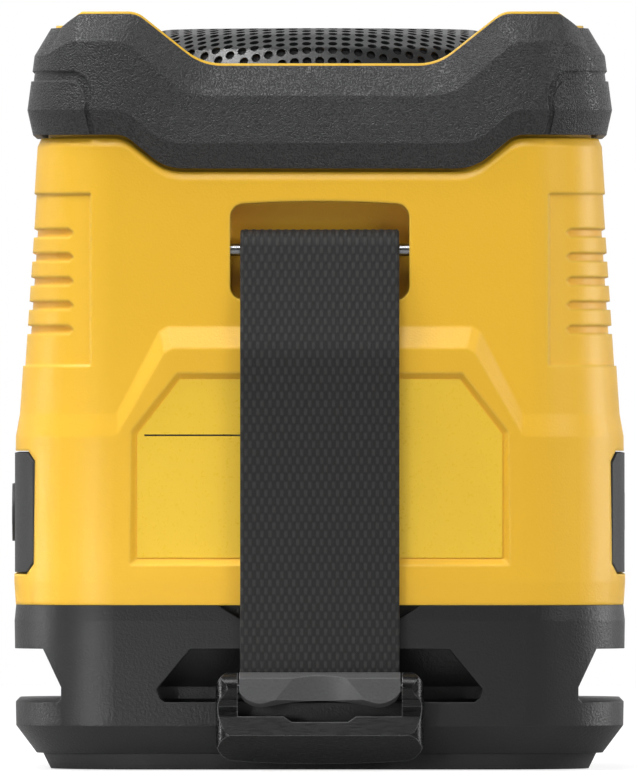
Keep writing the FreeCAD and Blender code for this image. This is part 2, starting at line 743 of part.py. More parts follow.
def strap_recess(grow, floor_y):
    """The pocket that holds the strap's upper loop; grow makes the block round it."""
    face = closed_face(arched_outline(RECESS_HALF + grow, RECESS_LOW - grow, RECESS_TOP + grow,
                                      RECESS_ARCH, RECESS_CORNER_R))
    face.translate(V(0, -BODY_HALF - 2, 0))
    return face.extrude(V(0, floor_y + BODY_HALF + 2, 0))


def recess_floor():
    """Depth at which the recess clears the strap's loop."""
    return PIN_Y + eye_outer() + RECESS_CLEARANCE


def eye_outer():
    """Outer radius of the strap's loop round the pin."""
    return PIN_R + STRAP_EYE_GAP + STRAP_THICK


def panel_core(depth):
    """The upper housing's form taken in by a depth, to keep shallow cuts shallow."""
    low, high = PANEL_LOW - 5, PANEL_HIGH + 5
    return square_stack([(upper_half(low) - depth, low), (upper_half(high) - depth, high)])


def grip_cuts():
    """Shallow side panels and the grip grooves in them, both sides."""
    reach = BODY_HALF + 2
    panel = box((PANEL_X, reach), (-reach, reach), (PANEL_LOW, PANEL_HIGH))
    panel = panel.cut(panel_core(PANEL_DEPTH))
    half = GROOVE_HEIGHT / 2
    grooves = []
    for number in range(GROOVE_COUNT):
        z = GROOVE_TOP_Z - number * GROOVE_PITCH
        section = [(GROOVE_X + half, z - half), (reach, z - half), (reach, z + half),
                   (GROOVE_X + half, z + half), (GROOVE_X, z)]
        grooves.append(rear_prism(section, (-reach, reach)))
    grooves = Part.makeCompound(grooves).cut(panel_core(GROOVE_DEPTH + PANEL_DEPTH))
    right = [panel, grooves]
    return right + [mirror_x(shape) for shape in right]


def pad_shape(end, grow, front_half, back_half, side):
    """A strip wrapped round one side of the housing, with bevelled corners."""
    y, low, high = end + grow, PAD_LOW - grow, PAD_HIGH + grow
    bevel = PAD_BEVEL
    pairs = [(-y + bevel, low), (y - bevel, low), (y, low + bevel), (y, high - bevel),
             (y - bevel, high), (-y + bevel, high), (-y, high - bevel), (-y, low + bevel)]
    strip = side_prism(pairs, (CORNER, BODY_HALF + 2))
    low, high = PAD_LOW - 2, PAD_HIGH + 2
    ring = square_stack([(front_half, low), (front_half, high)])
    ring = ring.cut(square_stack([(back_half, low), (back_half, high)]))
    strip = strip.common(ring)
    return strip if side > 0 else mirror_x(strip)


def key_places():
    first = -KEY_PITCH * (len(KEY_NAMES) - 1) / 2
    return [(name, first + number * KEY_PITCH) for number, name in enumerate(KEY_NAMES)]


def case_screw_places():
    return [(sx * SCREW_X, sy * SCREW_Y) for sx in (-1, 1) for sy in (-1, 1)]


def screw_boss(x, y):
    """Boss for a case screw with a rib out to the front or rear wall, and its bore."""
    boss = hexagon(BOSS_R, x, y, SEAM, BOSS_TOP)
    wall = math.copysign(inner_half() + WALL_SINK, y)
    rib = box((x - RIB_THICK / 2, x + RIB_THICK / 2), (min(y, wall), max(y, wall)),
              (seal_top() + POST_GAP, BOSS_TOP))
    pilot = hexagon(SCREW_R, x, y, SEAM - 1, SCREW_TIP_Z + 1)
    return boss.fuse(rib), pilot


def button_board_face():
    """X of the board face that carries the switches."""
    return KEY_STEM_END + SWITCH_FREE_GAP + SWITCH_PLUNGER_H + SWITCH_BODY_H


def board_rails():
    """Slotted rails for the buttons' board and posts under the charge board."""
    wall = inner_half() + WALL_SINK
    face = button_board_face()
    end = BUTTON_BOARD_HALF_Y
    rail = box((-wall, face + BOARD_THICK + RAIL_CHEEK), (end - RAIL_HOLD, end + RAIL_CHEEK),
               (BUTTON_BOARD_LOW, BUTTON_BOARD_HIGH + RAIL_CHEEK))
    slot = box((face - BOARD_FIT, face + BOARD_THICK + BOARD_FIT), (0, end + BOARD_FIT),
               (BUTTON_BOARD_LOW - 1, BUTTON_BOARD_HIGH + BOARD_FIT))
    rail = rail.cut(slot)
    top = PAD_Z - SOCKET_HALF_Z - BOARD_THICK
    y = CHARGE_BOARD_HALF_Y - RAIL_CHEEK
    post = box((CHARGE_BOARD_X[0], wall), (y - RAIL_CHEEK, y + RAIL_CHEEK),
               (top - CHARGE_POST_HEIGHT, top))
    return [rail, mirror_y(rail), post, mirror_y(post)]


def housing_shell():
    """Yellow moulding: walls, neck, deck, recesses, grip cuts, bosses and posts."""
    block = strap_recess(WALL, recess_floor() + WALL)
    cavity = housing_cavity().cut(block)
    bosses = [screw_boss(x, y) for x, y in case_screw_places()]
    cavity = cavity.cut([boss for boss, pilot in bosses] + board_rails())
    shell = housing_envelope().cut(cavity)
    reach = RECESS_HALF + PIN_SEAT
    cuts = [pilot for boss, pilot in bosses]
    cuts += [strap_recess(0, recess_floor()), label_recess()]
    cuts.append(rod(PIN_R + PIN_FIT, V(-reach, PIN_Y, PIN_Z), X_AXIS, 2 * reach))
    cuts += grip_cuts()
    seat = PAD_BACK_HALF - PAD_SEAT_GAP
    cuts.append(pad_shape(PAD_END_LEFT, PAD_EDGE_GAP, BODY_HALF + 1, seat, -1))
    cuts.append(pad_shape(PAD_END_RIGHT, PAD_EDGE_GAP, BODY_HALF + 1, seat, 1))
    for name, y in key_places():
        cuts.append(key_stem(KEY_STEM_HALF + KEY_GAP, y, -BODY_HALF, 1 - inner_half()))
    light = LIGHT_R + LIGHT_GAP
    cuts.append(box((-BODY_HALF, 1 - inner_half()), (LIGHT_Y - light, LIGHT_Y + light),
                    (LIGHT_Z - light, LIGHT_Z + light)))
    cuts.append(box((inner_half() - 1, BODY_HALF), (-PORT_HALF_Y, PORT_HALF_Y),
                    (PAD_Z - PORT_HALF_Z, PAD_Z + PORT_HALF_Z)))
    cuts.append(rod(DRIVER_BORE_R, V(0, 0, DECK_Z - DECK_THICK - 1), Z_AXIS, DECK_THICK + 2))
    cuts += [hexagon(SCREW_R, x, y, DECK_Z - DECK_THICK - 1, DECK_Z + 1)
             for x, y in driver_screw_places()]
    return shell.cut(cuts)


def bumper_with_grooves():
    """The crown ring with the shallow groove that bounds each corner block."""
    ring = top_bumper()
    reach = BODY_HALF + 2
    core = crown_solid([
        CrownLine(FACET_HALF - BLOCK_GROOVE_DEPTH, FACET_Z, FACET_KNEES),
        CrownLine(SKIRT_HALF - BLOCK_GROOVE_DEPTH, SKIRT_Z, SKIRT_KNEES),
        CrownLine(HEM_HALF - BLOCK_GROOVE_DEPTH, HEM_Z, HEM_KNEES),
        CrownLine(NECK_HALF_LOW, HEM_Z, HEM_KNEES),
        CrownLine(NECK_HALF_HIGH, FACET_Z, FACET_KNEES),
    ], True)
    path = [(CORNER + x, DECK_Z + z) for x, z in BLOCK_GROOVE_UPPER + BLOCK_GROOVE_LOWER]
    band = [(reach, path[0][1])] + path + [(reach, path[-1][1])]
    cutter = rear_prism(band, (-reach, reach)).cut(core)
    return ring.cut([cutter, mirror_x(cutter)])


def grille_outer():
    """Outer face of the grille from the centre to the flange, as (radius, height)."""
    return [(0, GRILLE_TOP_Z), (GRILLE_FLAT_R, GRILLE_TOP_Z), (GRILLE_BROW_R, GRILLE_BROW_Z),
            (GRILLE_SHOULDER_R, GRILLE_SHOULDER_Z), (GRILLE_SKIRT_R, DECK_Z + GRILLE_THICK),
            (GRILLE_FLANGE_R, DECK_Z + GRILLE_THICK)]


def grille():
    """Domed sheet with its flange flat on the deck."""
    outer = grille_outer()
    drop = V(0.5 * GRILLE_THICK, 0, GRILLE_THICK)
    inner = [(max(r - drop.x, 0), z - drop.z) for r, z in outer[:2] + outer[3:-1]]
    return revolve(outer + [(GRILLE_FLANGE_R, DECK_Z)] + inner[::-1])


def channel_pairs():
    """Section of the groove under the base's wall, as (outward, height)."""
    out = BASE_HIGH_HALF + 2
    return [(out, CHANNEL_LOW), (CHANNEL_DEEP_HALF + CHANNEL_BEVEL, CHANNEL_LOW),
            (CHANNEL_DEEP_HALF, CHANNEL_LOW + CHANNEL_BEVEL), (CHANNEL_DEEP_HALF, CHANNEL_DEEP_Z),
            (CHANNEL_TOP_HALF, CHANNEL_TOP), (out, CHANNEL_TOP)]


def base_cuts():
    """Grooves along both sides and a closed pocket in the front and rear."""
    reach = BASE_HIGH_HALF + 2
    side = rear_prism(channel_pairs(), (-reach, reach))
    right = [(POCKET_TOP_HALF, CHANNEL_TOP), (POCKET_WIDE_HALF, POCKET_WIDE_Z)]
    right += [(POCKET_WIDE_HALF - x, POCKET_BOTTOM + z) for x, z in POCKET_BEVELS]
    left = [(-x, z) for x, z in right[::-1]]
    section = side_prism([(-out, z) for out, z in channel_pairs()], (-reach, reach))
    pocket = rear_prism(right + left, (-reach, 0)).common(section)
    return [side, mirror_x(side), pocket, mirror_y(pocket)]


def hook_seat():
    """Notch in the base's lower edge that the latch hook lies in."""
    half = HOOK_HALF + 2 * HOOK_CLEARANCE
    return box((-half, half), (-BASE_HIGH_HALF - 1, HOOK_TIP_Y + HOOK_CLEARANCE),
               (FOOT_TOP - 1, HOOK_TOP_Z + HOOK_CLEARANCE))


def strap_notch():
    """Dip in the base's top edge behind the strap."""
    low = SEAM - NOTCH_DEPTH_Z
    pairs = [(-NOTCH_LOW_HALF, low), (NOTCH_LOW_HALF, low), (NOTCH_TOP_HALF, SEAM),
             (NOTCH_TOP_HALF, SEAM + 1), (-NOTCH_TOP_HALF, SEAM + 1), (-NOTCH_TOP_HALF, SEAM)]
    return rear_prism(pairs, (-BASE_HIGH_HALF - 1, -NOTCH_FLOOR_HALF))


def base_shell():
    """Black moulding: walls, floor, screw posts and the lip inside the housing."""
    body = square_stack([(BASE_FOOT_HALF, FOOT_TOP), (BASE_LOW_HALF, BASE_CHAMFER_Z),
                         (BASE_HIGH_HALF, BASE_BAND_Z), (BASE_TOP_HALF, SEAM)])
    body = body.cut(base_cuts() + [hook_seat(), strap_notch()])
    lip_outer = BODY_FOOT_HALF - WALL - LIP_CLEARANCE
    body = body.fuse(inner_stack([(lip_outer, SEAM - 1), (lip_outer, SEAM + LIP_HEIGHT)]))
    cavity = inner_stack([(BASE_CAVITY_HALF, BASE_FLOOR_Z), (BASE_CAVITY_HALF, BASE_RIM_CAVITY_Z)])
    upper = inner_stack([(BASE_RIM_CAVITY_HALF, BASE_RIM_CAVITY_Z),
                         (lip_outer - LIP_WALL, SEAM + LIP_HEIGHT + 1)])
    hollow = cavity.fuse(upper)
    posts = [hexagon(POST_R, x, y, BASE_FLOOR_Z - 1, SEAM - POST_GAP)
             for x, y in case_screw_places()]
    body = body.cut(hollow).fuse(posts)
    holes = []
    for x, y in case_screw_places():
        holes.append(hexagon(SCREW_R + SCREW_FIT, x, y, 0, SEAM + 1))
        holes.append(hexagon(SCREW_HEAD_R + SCREW_FIT, x, y, 0, SCREW_HEAD_Z))
    return body.cut(holes)


def base_seal():
    """Square ring on the base's lip, against the foot of the housing wall."""
    outer = BODY_FOOT_HALF - WALL - LIP_CLEARANCE
    low = SEAM + LIP_HEIGHT
    ring = inner_stack([(outer, low), (outer, low + SEAL_THICK)])
    inner = outer - LIP_WALL
    return ring.cut(inner_stack([(inner, low - 1), (inner, low + SEAL_THICK + 1)]))


def foot_pad():
    """Rubber pad that the speaker stands on; it covers the case screws."""
    return square_stack([(FOOT_HALF_LOW, 0), (FOOT_HALF_HIGH, FOOT_TOP)], FOOT_CORNER)


def case_screws():
    """Hexagon-head screws from under the base into the housing bosses."""
    screws = []
    for x, y in case_screw_places():
        head = hexagon(SCREW_HEAD_R, x, y, SCREW_HEAD_Z - SCREW_HEAD_H, SCREW_HEAD_Z)
        shank = hexagon(SCREW_R, x, y, SCREW_HEAD_Z, SCREW_TIP_Z)
        screws.append(head.fuse(shank))
    return group(screws)


def strap_pin():
    reach = RECESS_HALF + PIN_SEAT - PIN_END_GAP
    return rod(PIN_R, V(-reach, PIN_Y, PIN_Z), X_AXIS, 2 * reach)


def tangent_start(centre, radius, target):
    """Outer point where a straight line to the target leaves a circle, in the YZ plane."""
    dy, dz = target[0] - centre[0], target[1] - centre[1]
    reach = math.hypot(dy, dz)
    base = math.atan2(dz, dy)
    turn = math.acos(radius / reach)
    angle = base - turn
    return (centre[0] + radius * math.cos(angle), centre[1] + radius * math.sin(angle))


def strap_webbing():
    """Webbing: eye round the pin, sloping run with the sewn tail, knee and a straight drop."""
    lie = -BODY_HALF - STRAP_LIE_GAP
    outer_y = lie - STRAP_THICK
    centre = (PIN_Y, PIN_Z)
    half = STRAP_WIDTH / 2
    start = tangent_start(centre, eye_outer(), (outer_y, STRAP_KNEE_Z))
    inner = tangent_start(centre, eye_outer() - STRAP_THICK, (lie, STRAP_KNEE_Z))
    run = side_prism([start, (outer_y, STRAP_KNEE_Z), (outer_y, STRAP_END_Z), (lie, STRAP_END_Z),
                      (lie, STRAP_KNEE_Z), inner], (-half, half))
    along = V(0, lie - inner[0], STRAP_KNEE_Z - inner[1]).normalize()
    top = V(-half, inner[0], inner[1])
    end = top + along * ((top.z - STRAP_TAIL_Z) / -along.z)
    inwards = V(0, -along.z, along.y) * STRAP_THICK
    tail = prism([top, end, end + inwards, top + inwards], V(STRAP_WIDTH, 0, 0))
    eye = rod(eye_outer(), V(-half, PIN_Y, PIN_Z), X_AXIS, STRAP_WIDTH)
    bore = rod(PIN_R + STRAP_EYE_GAP, V(-STRAP_WIDTH, PIN_Y, PIN_Z), X_AXIS, 2 * STRAP_WIDTH)
    return eye.fuse([run, tail]).cut(bore)


def tongue_outline(heights, y):
    """Wavy outline of the end fitting at one depth: two lobes and an arch between them."""
    shoulder, lobe, arch = heights
    edge, x = TONGUE_HALF, TONGUE_HALF - TONGUE_CORNER[0]
    z = shoulder - TONGUE_CORNER[1] * (shoulder - lobe)
    top = TONGUE_TOP + 1
    return outline([V(-edge, y, top), V(-edge, y, shoulder),
                    (V(-x, y, z), V(-TONGUE_LOBE_X, y, lobe)),
                    (V(0, y, arch), V(TONGUE_LOBE_X, y, lobe)),
                    (V(x, y, z), V(edge, y, shoulder)), V(edge, y, top)])


def scoop_section(share):
    """Bowed section of the thumb scoop, at a share of the way from the lip to the brow."""
    lip = V(0, TONGUE_LIP_Y, TONGUE_LIP_Z)
    rise = V(0, *TONGUE_BROW) - lip
    outwards = V(0, -rise.z, rise.y).normalize()
    place = lip + rise * share
    half = SCOOP_HALF[0] + share * (SCOOP_HALF[1] - SCOOP_HALF[0])
    depth = SCOOP_DEPTH[0] + share * (SCOOP_DEPTH[1] - SCOOP_DEPTH[0])
    side = V(half, 0, 0)
    return outline([place - side, (place - outwards * depth, place + side),
                    place + side + outwards, place - side + outwards])


def strap_end():
    """Thumb piece on the strap's lower end, with a wavy lip and a scoop between its lobes."""
    profile = [(FRAME_INNER_Y, TONGUE_TOP), (TONGUE_TOP_Y, TONGUE_TOP), TONGUE_BROW,
               (TONGUE_LIP_Y, TONGUE_LIP_Z), (TONGUE_LIP_Y, TONGUE_LOW),
               (TONGUE_HEEL[0], TONGUE_LOW), (FRAME_INNER_Y, TONGUE_HEEL[1])]
    body = side_prism(profile, (-TONGUE_HALF, TONGUE_HALF))
    back = TONGUE_LIP_Y + TONGUE_LIP_DEPTH
    under = tongue_outline(TONGUE_UNDER_EDGE, back)
    lip = Part.makeLoft([tongue_outline(TONGUE_FACE_EDGE, TONGUE_LIP_Y), under], True, True)
    body = body.common(lip.fuse(Part.Face(under).extrude(V(0, FRAME_INNER_Y - back, 0))))
    scoop = Part.makeLoft([scoop_section(share) for share in SCOOP_SHARES], True, True)
    lie = -BODY_HALF - STRAP_LIE_GAP
    slot = box((-STRAP_WIDTH, STRAP_WIDTH), (lie - STRAP_THICK - STRAP_SLOT_GAP, lie + 1),
               (STRAP_END_Z - STRAP_SLOT_GAP, TONGUE_TOP + 1))
    bore = rod(LATCH_PIN_R + LATCH_PRESS, V(-FRAME_HALF, LATCH_PIN_Y, LATCH_PIN_Z), X_AXIS,
               2 * FRAME_HALF)
    return body.cut([scoop, slot, bore])


def latch_pin():
    reach = FRAME_HALF - FRAME_EAR_SKIN - PIN_END_GAP
    return rod(LATCH_PIN_R, V(-reach, LATCH_PIN_Y, LATCH_PIN_Z), X_AXIS, 2 * reach)


def around_latch_pin(degrees):
    """Point on the knuckle's round, in the YZ plane, from the side that faces the body."""
    a = math.radians(degrees)
    return V(0, LATCH_PIN_Y + KNUCKLE_R * math.cos(a), LATCH_PIN_Z + KNUCKLE_R * math.sin(a))


def frame_blank():
    """The frame's side profile, knuckle and ridge, across its whole width."""
    points = [around_latch_pin(0), (around_latch_pin(115), around_latch_pin(230))]
    points += [V(0, y, z) for y, z in FRAME_FRONT]
    points += [V(0, FRAME_INNER_Y, FRAME_INNER_LOW), V(0, FRAME_INNER_Y, LATCH_PIN_Z - 1.1)]
    face = closed_face(points)
    face.translate(V(-FRAME_HALF, 0, 0))
    return face.extrude(V(2 * FRAME_HALF, 0, 0))


def frame_elevation():
    """The frame's outline from the strap side: round corners and a slightly bowed foot."""
    x, low, top = FRAME_HALF, FRAME_LOW, FRAME_TOP
    r, big = FRAME_TOP_R, FRAME_CORNER_R
    cut, big_cut = r * (1 - 1 / math.sqrt(2)), big * (1 - 1 / math.sqrt(2))
    face = closed_face([
        V(-x + big, 0, low), (V(0, 0, low - FRAME_BOW), V(x - big, 0, low)),
        (V(x - big_cut, 0, low + big_cut), V(x, 0, low + big)), V(x, 0, top - r),
        (V(x - cut, 0, top - cut), V(x - r, 0, top)), V(-x + r, 0, top),
        (V(-x + cut, 0, top - cut), V(-x, 0, top - r)), V(-x, 0, low + big),
        (V(-x + big_cut, 0, low + big_cut), V(-x + big, 0, low))])
    face.translate(V(0, -BODY_HALF - 10, 0))
    return face.extrude(V(0, 12, 0))


def frame_plan():
    """The frame's outline from above, with the outer edges of its face rounded."""
    x, front, r = FRAME_HALF, FRAME_FRONT[2][0], FRAME_FACE_R
    cut = r * (1 - 1 / math.sqrt(2))
    face = closed_face([
        V(-x, HOOK_TIP_Y, 0), V(-x, front + r, 0),
        (V(-x + cut, front + cut, 0), V(-x + r, front, 0)), V(x - r, front, 0),
        (V(x - cut, front + cut, 0), V(x, front + r, 0)), V(x, HOOK_TIP_Y, 0)])
    return face.extrude(V(0, 0, FRAME_TOP + 1))


def latch_frame():
    """U-shaped frame: two knuckled ears, a ridged bar and the hook under the base."""
    body = frame_blank().common(frame_elevation()).common(frame_plan())
    ear, bar, notch = FRAME_EAR_INNER, FRAME_BAR_TOP, FRAME_NOTCH_TOP
    wide, narrow = FRAME_NOTCH_HALF
    above = FRAME_TOP + 1
    window = rear_prism([(-ear, bar), (-wide, bar), (-narrow, notch), (narrow, notch), (wide, bar),
                         (ear, bar), (ear, above), (-ear, above)], (-BODY_HALF - 12, -BODY_HALF + 2))
    hook = side_prism(HOOK_PROFILE, (-HOOK_HALF, HOOK_HALF))
    reach = FRAME_HALF - FRAME_EAR_SKIN
    bore = rod(LATCH_PIN_R + PIN_FIT, V(-reach, LATCH_PIN_Y, LATCH_PIN_Z), X_AXIS, 2 * reach)
    return body.cut(window).fuse(hook).cut(bore)


def side_pad():
    """Left rubber strip with a hole for each key and the light."""
    pad = pad_shape(PAD_END_LEFT, 0, PAD_FACE_HALF, PAD_BACK_HALF, -1)
    holes = [rod(KEY_R + KEY_GAP, V(-BODY_HALF - 1, y, PAD_Z), X_AXIS, 2 * WALL)
             for name, y in key_places()]
    holes.append(rod(LIGHT_R + PIN_FIT, V(-BODY_HALF - 1, LIGHT_Y, LIGHT_Z), X_AXIS, 2 * WALL))
    return pad.cut(holes)


def key_stem(half, y, x_low, x_high):
    """Square bar from a key's cap through the housing wall."""
    return box((x_low, x_high), (y - half, y + half), (PAD_Z - half, PAD_Z + half))


def key(y):
    """Round key that stands a little proud of the pad, with a stem to its switch."""
    face = -PAD_FACE_HALF - KEY_RISE
    cap = rod(KEY_R, V(face, y, PAD_Z), X_AXIS, KEY_THICK + KEY_RISE)
    return cap.fuse(key_stem(KEY_STEM_HALF, y, face + KEY_RISE, KEY_STEM_END))


def status_light():
    """Clear light pipe through the pad and the housing wall."""
    start = -PAD_FACE_HALF - LIGHT_RISE
    end = button_board_face() - LIGHT_END_GAP
    return rod(LIGHT_R, V(start, LIGHT_Y, LIGHT_Z), X_AXIS, end - start)


def button_board():
    face = button_board_face()
    board = box((face, face + BOARD_THICK), (-BUTTON_BOARD_HALF_Y, BUTTON_BOARD_HALF_Y),
                (BUTTON_BOARD_LOW, BUTTON_BOARD_HIGH))
    return board


def tact_switches():
    """One switch behind each key."""
    face = button_board_face()
    switches = []
    half = SWITCH_BODY / 2
    for name, y in key_places():
        body = box((face - SWITCH_BODY_H, face), (y - half, y + half), (PAD_Z - half, PAD_Z + half))
        plunger = key_stem(SWITCH_PLUNGER_HALF, y, face - SWITCH_BODY_H - SWITCH_PLUNGER_H, face)
        switches.append(body.fuse(plunger))
    return group(switches)


def port_pad():
    """Right rubber strip with the window that the port cover closes."""
    pad = pad_shape(PAD_END_RIGHT, 0, PAD_FACE_HALF, PAD_BACK_HALF, 1)
    hinge_r = COVER_THICK / 2
    window = box((CORNER, BODY_HALF + 1), (-COVER_HALF_Y - hinge_r - COVER_GAP,
                                           COVER_HALF_Y + COVER_GAP),
                 (COVER_LOW - COVER_GAP, COVER_HIGH + COVER_GAP))
    return pad.cut(window)


def cover_axis():
    """X and Y of the port cover's upright hinge axis."""
    return PAD_FACE_HALF - COVER_THICK / 2, -COVER_HALF_Y


def port_cover():
    """Flap with a rolled hinge edge, a finger lip and a plug that enters the port well."""
    x, y = cover_axis()
    height = COVER_HIGH - COVER_LOW
    barrel = rod(COVER_THICK / 2, V(x, y, COVER_LOW), Z_AXIS, height)
    plate = box((x - COVER_THICK / 2, x + COVER_THICK / 2), (y, COVER_HALF_Y),
                (COVER_LOW, COVER_HIGH))
    back = x - COVER_THICK / 2
    plug = box((back - COVER_PLUG_DEPTH, x), (-COVER_PLUG_HALF_Y, COVER_PLUG_HALF_Y),
               (PAD_Z - COVER_PLUG_HALF_Z, PAD_Z + COVER_PLUG_HALF_Z))
    lip = box((x, x + COVER_THICK / 2 + COVER_LIP_RISE), COVER_LIP_Y,
              (PAD_Z - COVER_LIP_HALF_Z, PAD_Z + COVER_LIP_HALF_Z))
    return barrel.fuse([plate, plug, lip])


def usb_socket():
    """Metal shell of the charging socket."""
    def slab(grow, x_low, x_high):
        half_y, half_z = SOCKET_HALF_Y - grow, SOCKET_HALF_Z - grow
        bar = box((x_low, x_high), (-half_y + half_z, half_y - half_z),
                  (PAD_Z - half_z, PAD_Z + half_z))
        ends = [rod(half_z, V(x_low, sy * (half_y - half_z), PAD_Z), X_AXIS, x_high - x_low)
                for sy in (-1, 1)]
        return bar.fuse(ends)
    back = SOCKET_FACE_X - SOCKET_LENGTH
    well = slab(SOCKET_WALL, back + SOCKET_BACK_WALL, SOCKET_FACE_X + 1)
    return slab(0, back, SOCKET_FACE_X).cut(well)


def usb_tongue():
    """Contact tongue inside the socket."""
    back = SOCKET_FACE_X - SOCKET_LENGTH + SOCKET_BACK_WALL
    return box((back, SOCKET_FACE_X - SOCKET_TONGUE_INSET),
               (-SOCKET_TONGUE_HALF_Y, SOCKET_TONGUE_HALF_Y),
               (PAD_Z - SOCKET_TONGUE_HALF_Z, PAD_Z + SOCKET_TONGUE_HALF_Z))


def charge_board():
    top = PAD_Z - SOCKET_HALF_Z
    return box(CHARGE_BOARD_X, (-CHARGE_BOARD_HALF_Y, CHARGE_BOARD_HALF_Y),
               (top - BOARD_THICK, top))


def driver_screw_places():
    places = []
    for number in range(DRIVER_SCREW_COUNT):
        a = math.radians(45 + 360 * number / DRIVER_SCREW_COUNT)
        places.append((DRIVER_SCREW_PCR * math.cos(a), DRIVER_SCREW_PCR * math.sin(a)))
    return places


def driver_basket():
    """Pressed basket: flange, four legs, spider ledge and foot ring on the top plate."""
    z, t = DECK_Z, BASKET_SHEET
    ledge_in, ledge_out = SPIDER_LEDGE_R
    cup = revolve([(FLANGE_INNER_R - t, z + FLANGE_THICK), (FLANGE_R, z + FLANGE_THICK),
                   (FLANGE_R, z), (FLANGE_INNER_R, z), (ledge_out + t, SPIDER_LEDGE_Z),
                   (ledge_in + t, PLATE_TOP), (ledge_in - 2 * t, PLATE_TOP),
                   (ledge_in, SPIDER_LEDGE_Z), (ledge_out, SPIDER_LEDGE_Z)])
    slot = box((0, FLANGE_R), (-BASKET_WINDOW, BASKET_WINDOW),
               (BASKET_WINDOW_LOW, BASKET_WINDOW_HIGH))
    windows = [slot.rotated(V(0, 0, 0), Z_AXIS, 90 * number) for number in range(4)]
    holes = [hexagon(SCREW_R + SCREW_FIT, x, y, z - 1, z + 4) for x, y in driver_screw_places()]
    return cup.cut(windows + holes)


def driver_screws():
    """Small hexagon-head screws that hold the flange to the deck."""
    top = DECK_Z + FLANGE_THICK
    screws = []
    for x, y in driver_screw_places():
        head = hexagon(BOARD_SCREW_HEAD_R, x, y, top, top + BOARD_SCREW_HEAD_H)
        shank = hexagon(SCREW_R, x, y, top - DRIVER_SCREW_LENGTH, top)
        screws.append(head.fuse(shank))
    return group(screws)


def top_plate():
    return tube(PLATE_R, PLATE_HOLE_R, V(0, 0, PLATE_TOP - PLATE_THICK), Z_AXIS, PLATE_THICK)


def driver_magnet():
    low = PLATE_TOP - PLATE_THICK - MAGNET_THICK
    return tube(MAGNET_R, MAGNET_HOLE_R, V(0, 0, low), Z_AXIS, MAGNET_THICK)


def driver_yoke():
    """Back plate with the pole that stands in the coil."""
    low = PLATE_TOP - PLATE_THICK - MAGNET_THICK - YOKE_THICK
    disc = rod(PLATE_R, V(0, 0, low), Z_AXIS, YOKE_THICK)
    return disc.fuse(rod(POLE_R, V(0, 0, low), Z_AXIS, PLATE_TOP - low))


def coil_former():
    inner, outer = FORMER_R
    return tube(outer, inner, V(0, 0, FORMER_LOW), Z_AXIS, FORMER_TOP - FORMER_LOW)


def voice_coil():
    inner, outer = COIL_R
    return tube(outer, inner, V(0, 0, COIL_LOW), Z_AXIS, COIL_HEIGHT)


def driver_cone():
    t = CONE_THICK
    return revolve([(CONE_NECK_R, CONE_NECK_Z), (CONE_EDGE_R, CONE_EDGE_Z - t),
                    (CONE_EDGE_R, CONE_EDGE_Z), (CONE_NECK_R, CONE_NECK_Z + 1.2 * t)])


def dust_cap():
    """Shallow dome over the coil, seated on the cone."""
    slope = (CONE_EDGE_Z - CONE_NECK_Z) / (CONE_EDGE_R - CONE_NECK_R)
    seat = CONE_NECK_Z + (DUST_CAP_R - CONE_NECK_R) * slope + 1.3 * CONE_THICK
    rise, r, t = DUST_CAP_RISE, DUST_CAP_R, CONE_THICK
    outer = [(r, seat), (0.6 * r, seat + 0.8 * rise), (0, seat + rise)]
    inner = [(0, seat + rise - t), (0.6 * r - 0.5 * t, seat + 0.8 * rise - t), (r - 2 * t, seat)]
    return revolve(outer + inner)


def driver_surround():
    """Raised rubber ring from the cone's edge to the flange."""
    inner, outer = SURROUND_R
    t, z = SURROUND_THICK, DECK_Z + FLANGE_THICK
    roll = outer - SURROUND_LIP
    middle, rise = 0.5 * (inner + roll), 0.5 * (roll - inner)
    under = [(inner, z), (middle, z + rise), (roll, z), (outer, z)]
    return revolve(under + [(r, height + t) for r, height in under[::-1]])


def driver_spider():
    """Corrugated disc that centres the coil, flat where it lies on its ledge."""
    inner, outer = CONE_NECK_R, SPIDER_LEDGE_R[1] - SPIDER_EDGE_GAP
    radii = [inner + (outer - inner) * n / SPIDER_RUNS for n in range(SPIDER_RUNS + 1)]
    heights = [SPIDER_LEDGE_Z + SPIDER_WAVE * (n % 2) for n in range(SPIDER_RUNS)]
    heights.append(SPIDER_LEDGE_Z)
    top = [(r, z + SPIDER_THICK) for r, z in zip(radii, heights)]
    return revolve(list(zip(radii, heights)) + top[::-1])


def cell_places():
    offset = CELL_R + CELL_GAP / 2
    return (-offset, offset)


def cell_z():
    return BASE_FLOOR_Z + CRADLE_FLOOR + CELL_R + CELL_FLOAT


def battery_cells():
    """Two round cells with their raised terminals."""
    cells = []
    for y in cell_places():
        can = rod(CELL_R, V(-CELL_LENGTH / 2, y, cell_z()), X_AXIS, CELL_LENGTH)
        tip = rod(CELL_TIP_R, V(CELL_LENGTH / 2, y, cell_z()), X_AXIS, CELL_TIP)
        cells.append(can.fuse(tip))
    return group(cells)


def pillar_places():
    return [(sx * PILLAR_X, sy * PILLAR_Y) for sx in (-1, 1) for sy in (-1, 1)]


